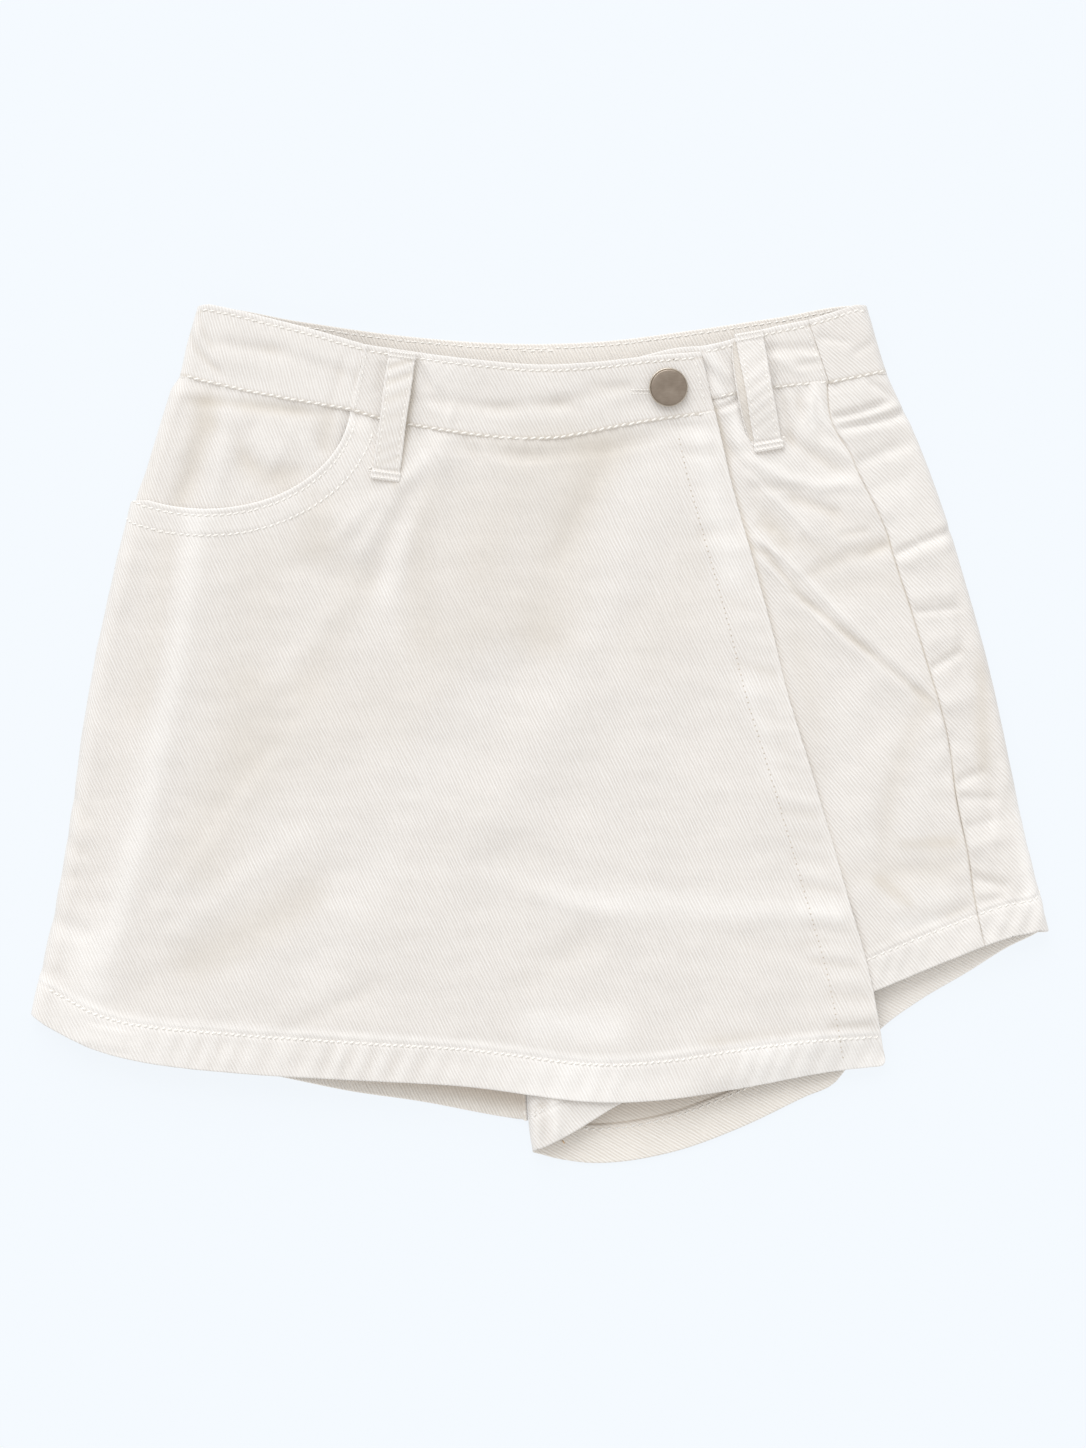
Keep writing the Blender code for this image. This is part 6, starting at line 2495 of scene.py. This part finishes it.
    def sew(self, length: float) -> None:
        """Sews both edges, the bar tacks and the loose ends of thread beside the foot.

        Args:
            length: the strap's length.
        """
        edges = StitchWork(self.name + "_edge_stitches", self.seed)
        small = Stitching(pitch=2.6, length=1.9, radius=0.22, lie=0.04, slant=0.12, dip=0.3)
        side = 0.5 * self.width - 1.6
        for b in (-side, side):
            path = straight((self.head_bar + 0.8, b), (length - self.foot_bar - 0.8, b), 60)
            edges.row(self.surface, path, small)
        edges.build()
        work = StitchWork(self.name + "_stitches", self.seed + 10)
        tack = Stitching(pitch=0.9, length=0.8, radius=0.26, lie=0.02, dip=0.12, slant=0.3)
        for a in (self.head_bar - 0.7, 0.7, length - self.foot_bar + 0.7, length - 0.9):
            work.row(self.surface, straight((a, -side - 1.0), (a, side + 1.0), 30), tack)
        loose = Stitching(pitch=1.1, length=1.3, radius=0.34, lie=-0.5, dip=0.5)
        foot = length - self.foot_bar
        reach = 0.5 * self.width
        sign = 1.0 if self.underlay else -1.0
        for k, turn in enumerate((0.2, 1.5, 2.6)):
            t = np.linspace(0.0, 1.0, 12)
            b = sign * (reach + 0.4 + 1.5 * t * math.cos(0.5 * turn))
            a = foot + 0.5 * k - 0.6 + 1.2 * t * math.sin(turn)
            work.row(self.surface, np.stack([a, b], axis=-1), loose)
        work.build()


# --- Button ---


class Turned(NamedTuple):
    """Point of a turned profile: distance from the axis and height above the seat."""

    radius: float
    height: float


@dataclass
class CapButton:
    """Flat metal cap set in a thin ring, on a shank that goes through the buttonhole."""

    sides: int = 128
    tilt: float = 0.28
    ring: tuple[Turned, ...] = table(
        Turned, (6.6, 0.2), (6.8, 1.35), (7.1, 1.72), (7.4, 1.86), (7.62, 1.8), (7.74, 1.55), (7.7, 1), (7.5, 0.5),
        (7.1, 0.15), (6.4, 0), (4, 0), (2.3, 0), (2.2, -2), (0, -2),
    )
    cap: tuple[Turned, ...] = table(
        Turned, (0, 2.5), (3, 2.5), (5.6, 2.5), (6.6, 2.49), (6.95, 2.44), (7.14, 2.3), (7.2, 2.05), (7.16, 1.5),
        (6.9, 1.2), (0, 1.2),
    )

    def turned(
        self, name: str, profile: tuple[Turned, ...], shift: tuple[float, float], metal: bpy.types.Material
    ) -> bpy.types.Object:
        """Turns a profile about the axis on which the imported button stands.

        Args:
            name: the object's name.
            profile: the profile, from the top round to the bottom.
            shift: how far the part sits off the axis, in x and y.
            metal: its material.

        Returns:
            The object.
        """
        low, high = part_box("button")
        centre = 0.5 * (low + high)
        seat = high.z / MM - self.cap[0].height
        turn = np.arange(self.sides) / self.sides * math.tau
        radius = np.array([max(point.radius, 0.01) for point in profile])
        height = np.array([point.height for point in profile]) + seat
        x = centre.x / MM + shift[0] + radius[:, None] * np.cos(turn)
        y = centre.y / MM + shift[1] + radius[:, None] * np.sin(turn)
        z = np.broadcast_to(height[:, None], x.shape)
        points = np.stack([x, y, z], axis=-1).reshape(-1, 3)
        faces = quads(np.arange(len(points)).reshape(len(radius), self.sides), True)
        piece = mesh_object(name, points, faces, points[faces.ravel()][:, :2], metal)
        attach(piece, BODY)
        LOG.info("%s: %.1f mm across", name, 2.0 * radius.max())
        return piece

    def build(self) -> None:
        """Builds the ring and the cap, which sits a little off its middle."""
        ring = self.turned("button_ring", self.ring, (0.0, 0.0), POLISHED_NICKEL)
        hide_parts("button")
        self.turned("button_cap", self.cap, (0.5 * self.tilt, -0.6 * self.tilt), NICKEL)


# --- Studio ---


@dataclass
class Studio:
    """Light table, one large soft light from the waist's right and a camera that looks straight down."""

    frame_height: float = 579.2
    frame_centre: tuple[float, float] = (1.6, 3.4)
    cloth_height: float = 8.0
    lens: float = 100.0
    sensor: float = 36.0
    sky: float = 0.85
    sky_color: str = "#FFFDFA"
    light_from: tuple[float, float, float] = (-0.34, 1.00, 0.72)
    light_width: float = 50.0
    light_strength: float = 1.50
    light_color: str = "#FBFDFF"

    def build(self) -> None:
        """Builds the floor, the light and the camera."""
        scene = bpy.context.scene
        scene.view_settings.view_transform = "Standard"
        world = bpy.data.worlds.new("studio_sky")
        scene.world = world
        world.use_nodes = True
        set_inputs(world.node_tree.nodes["Background"], {"Color": srgb(self.sky_color), "Strength": self.sky})
        self.floor()
        self.light()
        self.camera()

    def floor(self) -> None:
        """Lays the light table."""
        bpy.ops.mesh.primitive_plane_add(size=6.0, location=(0.0, 0.0, 0.0))
        sheet = bpy.context.object
        sheet.name = "light_table"
        sheet.data.materials.append(LightTable().material())

    def light(self) -> None:
        """Hangs the soft light, as wide as a window near by looks, and aims it at the garment."""
        data = bpy.data.lights.new("window_light", "SUN")
        data.angle = math.radians(self.light_width)
        data.energy = self.light_strength
        data.color = srgb(self.light_color)[:3]
        lamp = bpy.data.objects.new("window_light", data)
        lamp.location = self.light_from
        lamp.rotation_euler = (-Vector(self.light_from)).to_track_quat("-Z", "Y").to_euler()
        bpy.context.scene.collection.objects.link(lamp)

    def camera(self) -> None:
        """Sets the camera straight above, so that the frame's height is right at the cloth's own height."""
        data = bpy.data.cameras.new("overhead_camera")
        data.lens = self.lens
        data.sensor_width = self.sensor
        data.dof.use_dof = False
        camera = bpy.data.objects.new("overhead_camera", data)
        distance = self.frame_height * self.lens / self.sensor + self.cloth_height
        camera.location = (self.frame_centre[0] * MM, self.frame_centre[1] * MM, distance * MM)
        bpy.context.scene.collection.objects.link(camera)
        bpy.context.scene.camera = camera


def main() -> None:
    """Builds the studio and each sub-assembly, in order."""
    logging.basicConfig(level=logging.INFO, format="%(name)s %(message)s")
    Studio().build()
    Shorts().build()
    HipPiece().build()
    panel = WrapPanel()
    panel.build()
    panel.sew()
    Waistband().build()
    BeltLoop("loop_right", (-54.4, 151.8), (-61.4, 100.4), PANEL_LIFT, 1.2, 73.0, 24).build()
    BeltLoop("loop_left", (83.6, 160.0), (92.0, 112.6), 0.0, 2.6, 48.0, 25, 3.4, 3.6, 3.4, tone=0.18).build()
    CapButton().build()


if __name__ == "__main__":
    main()
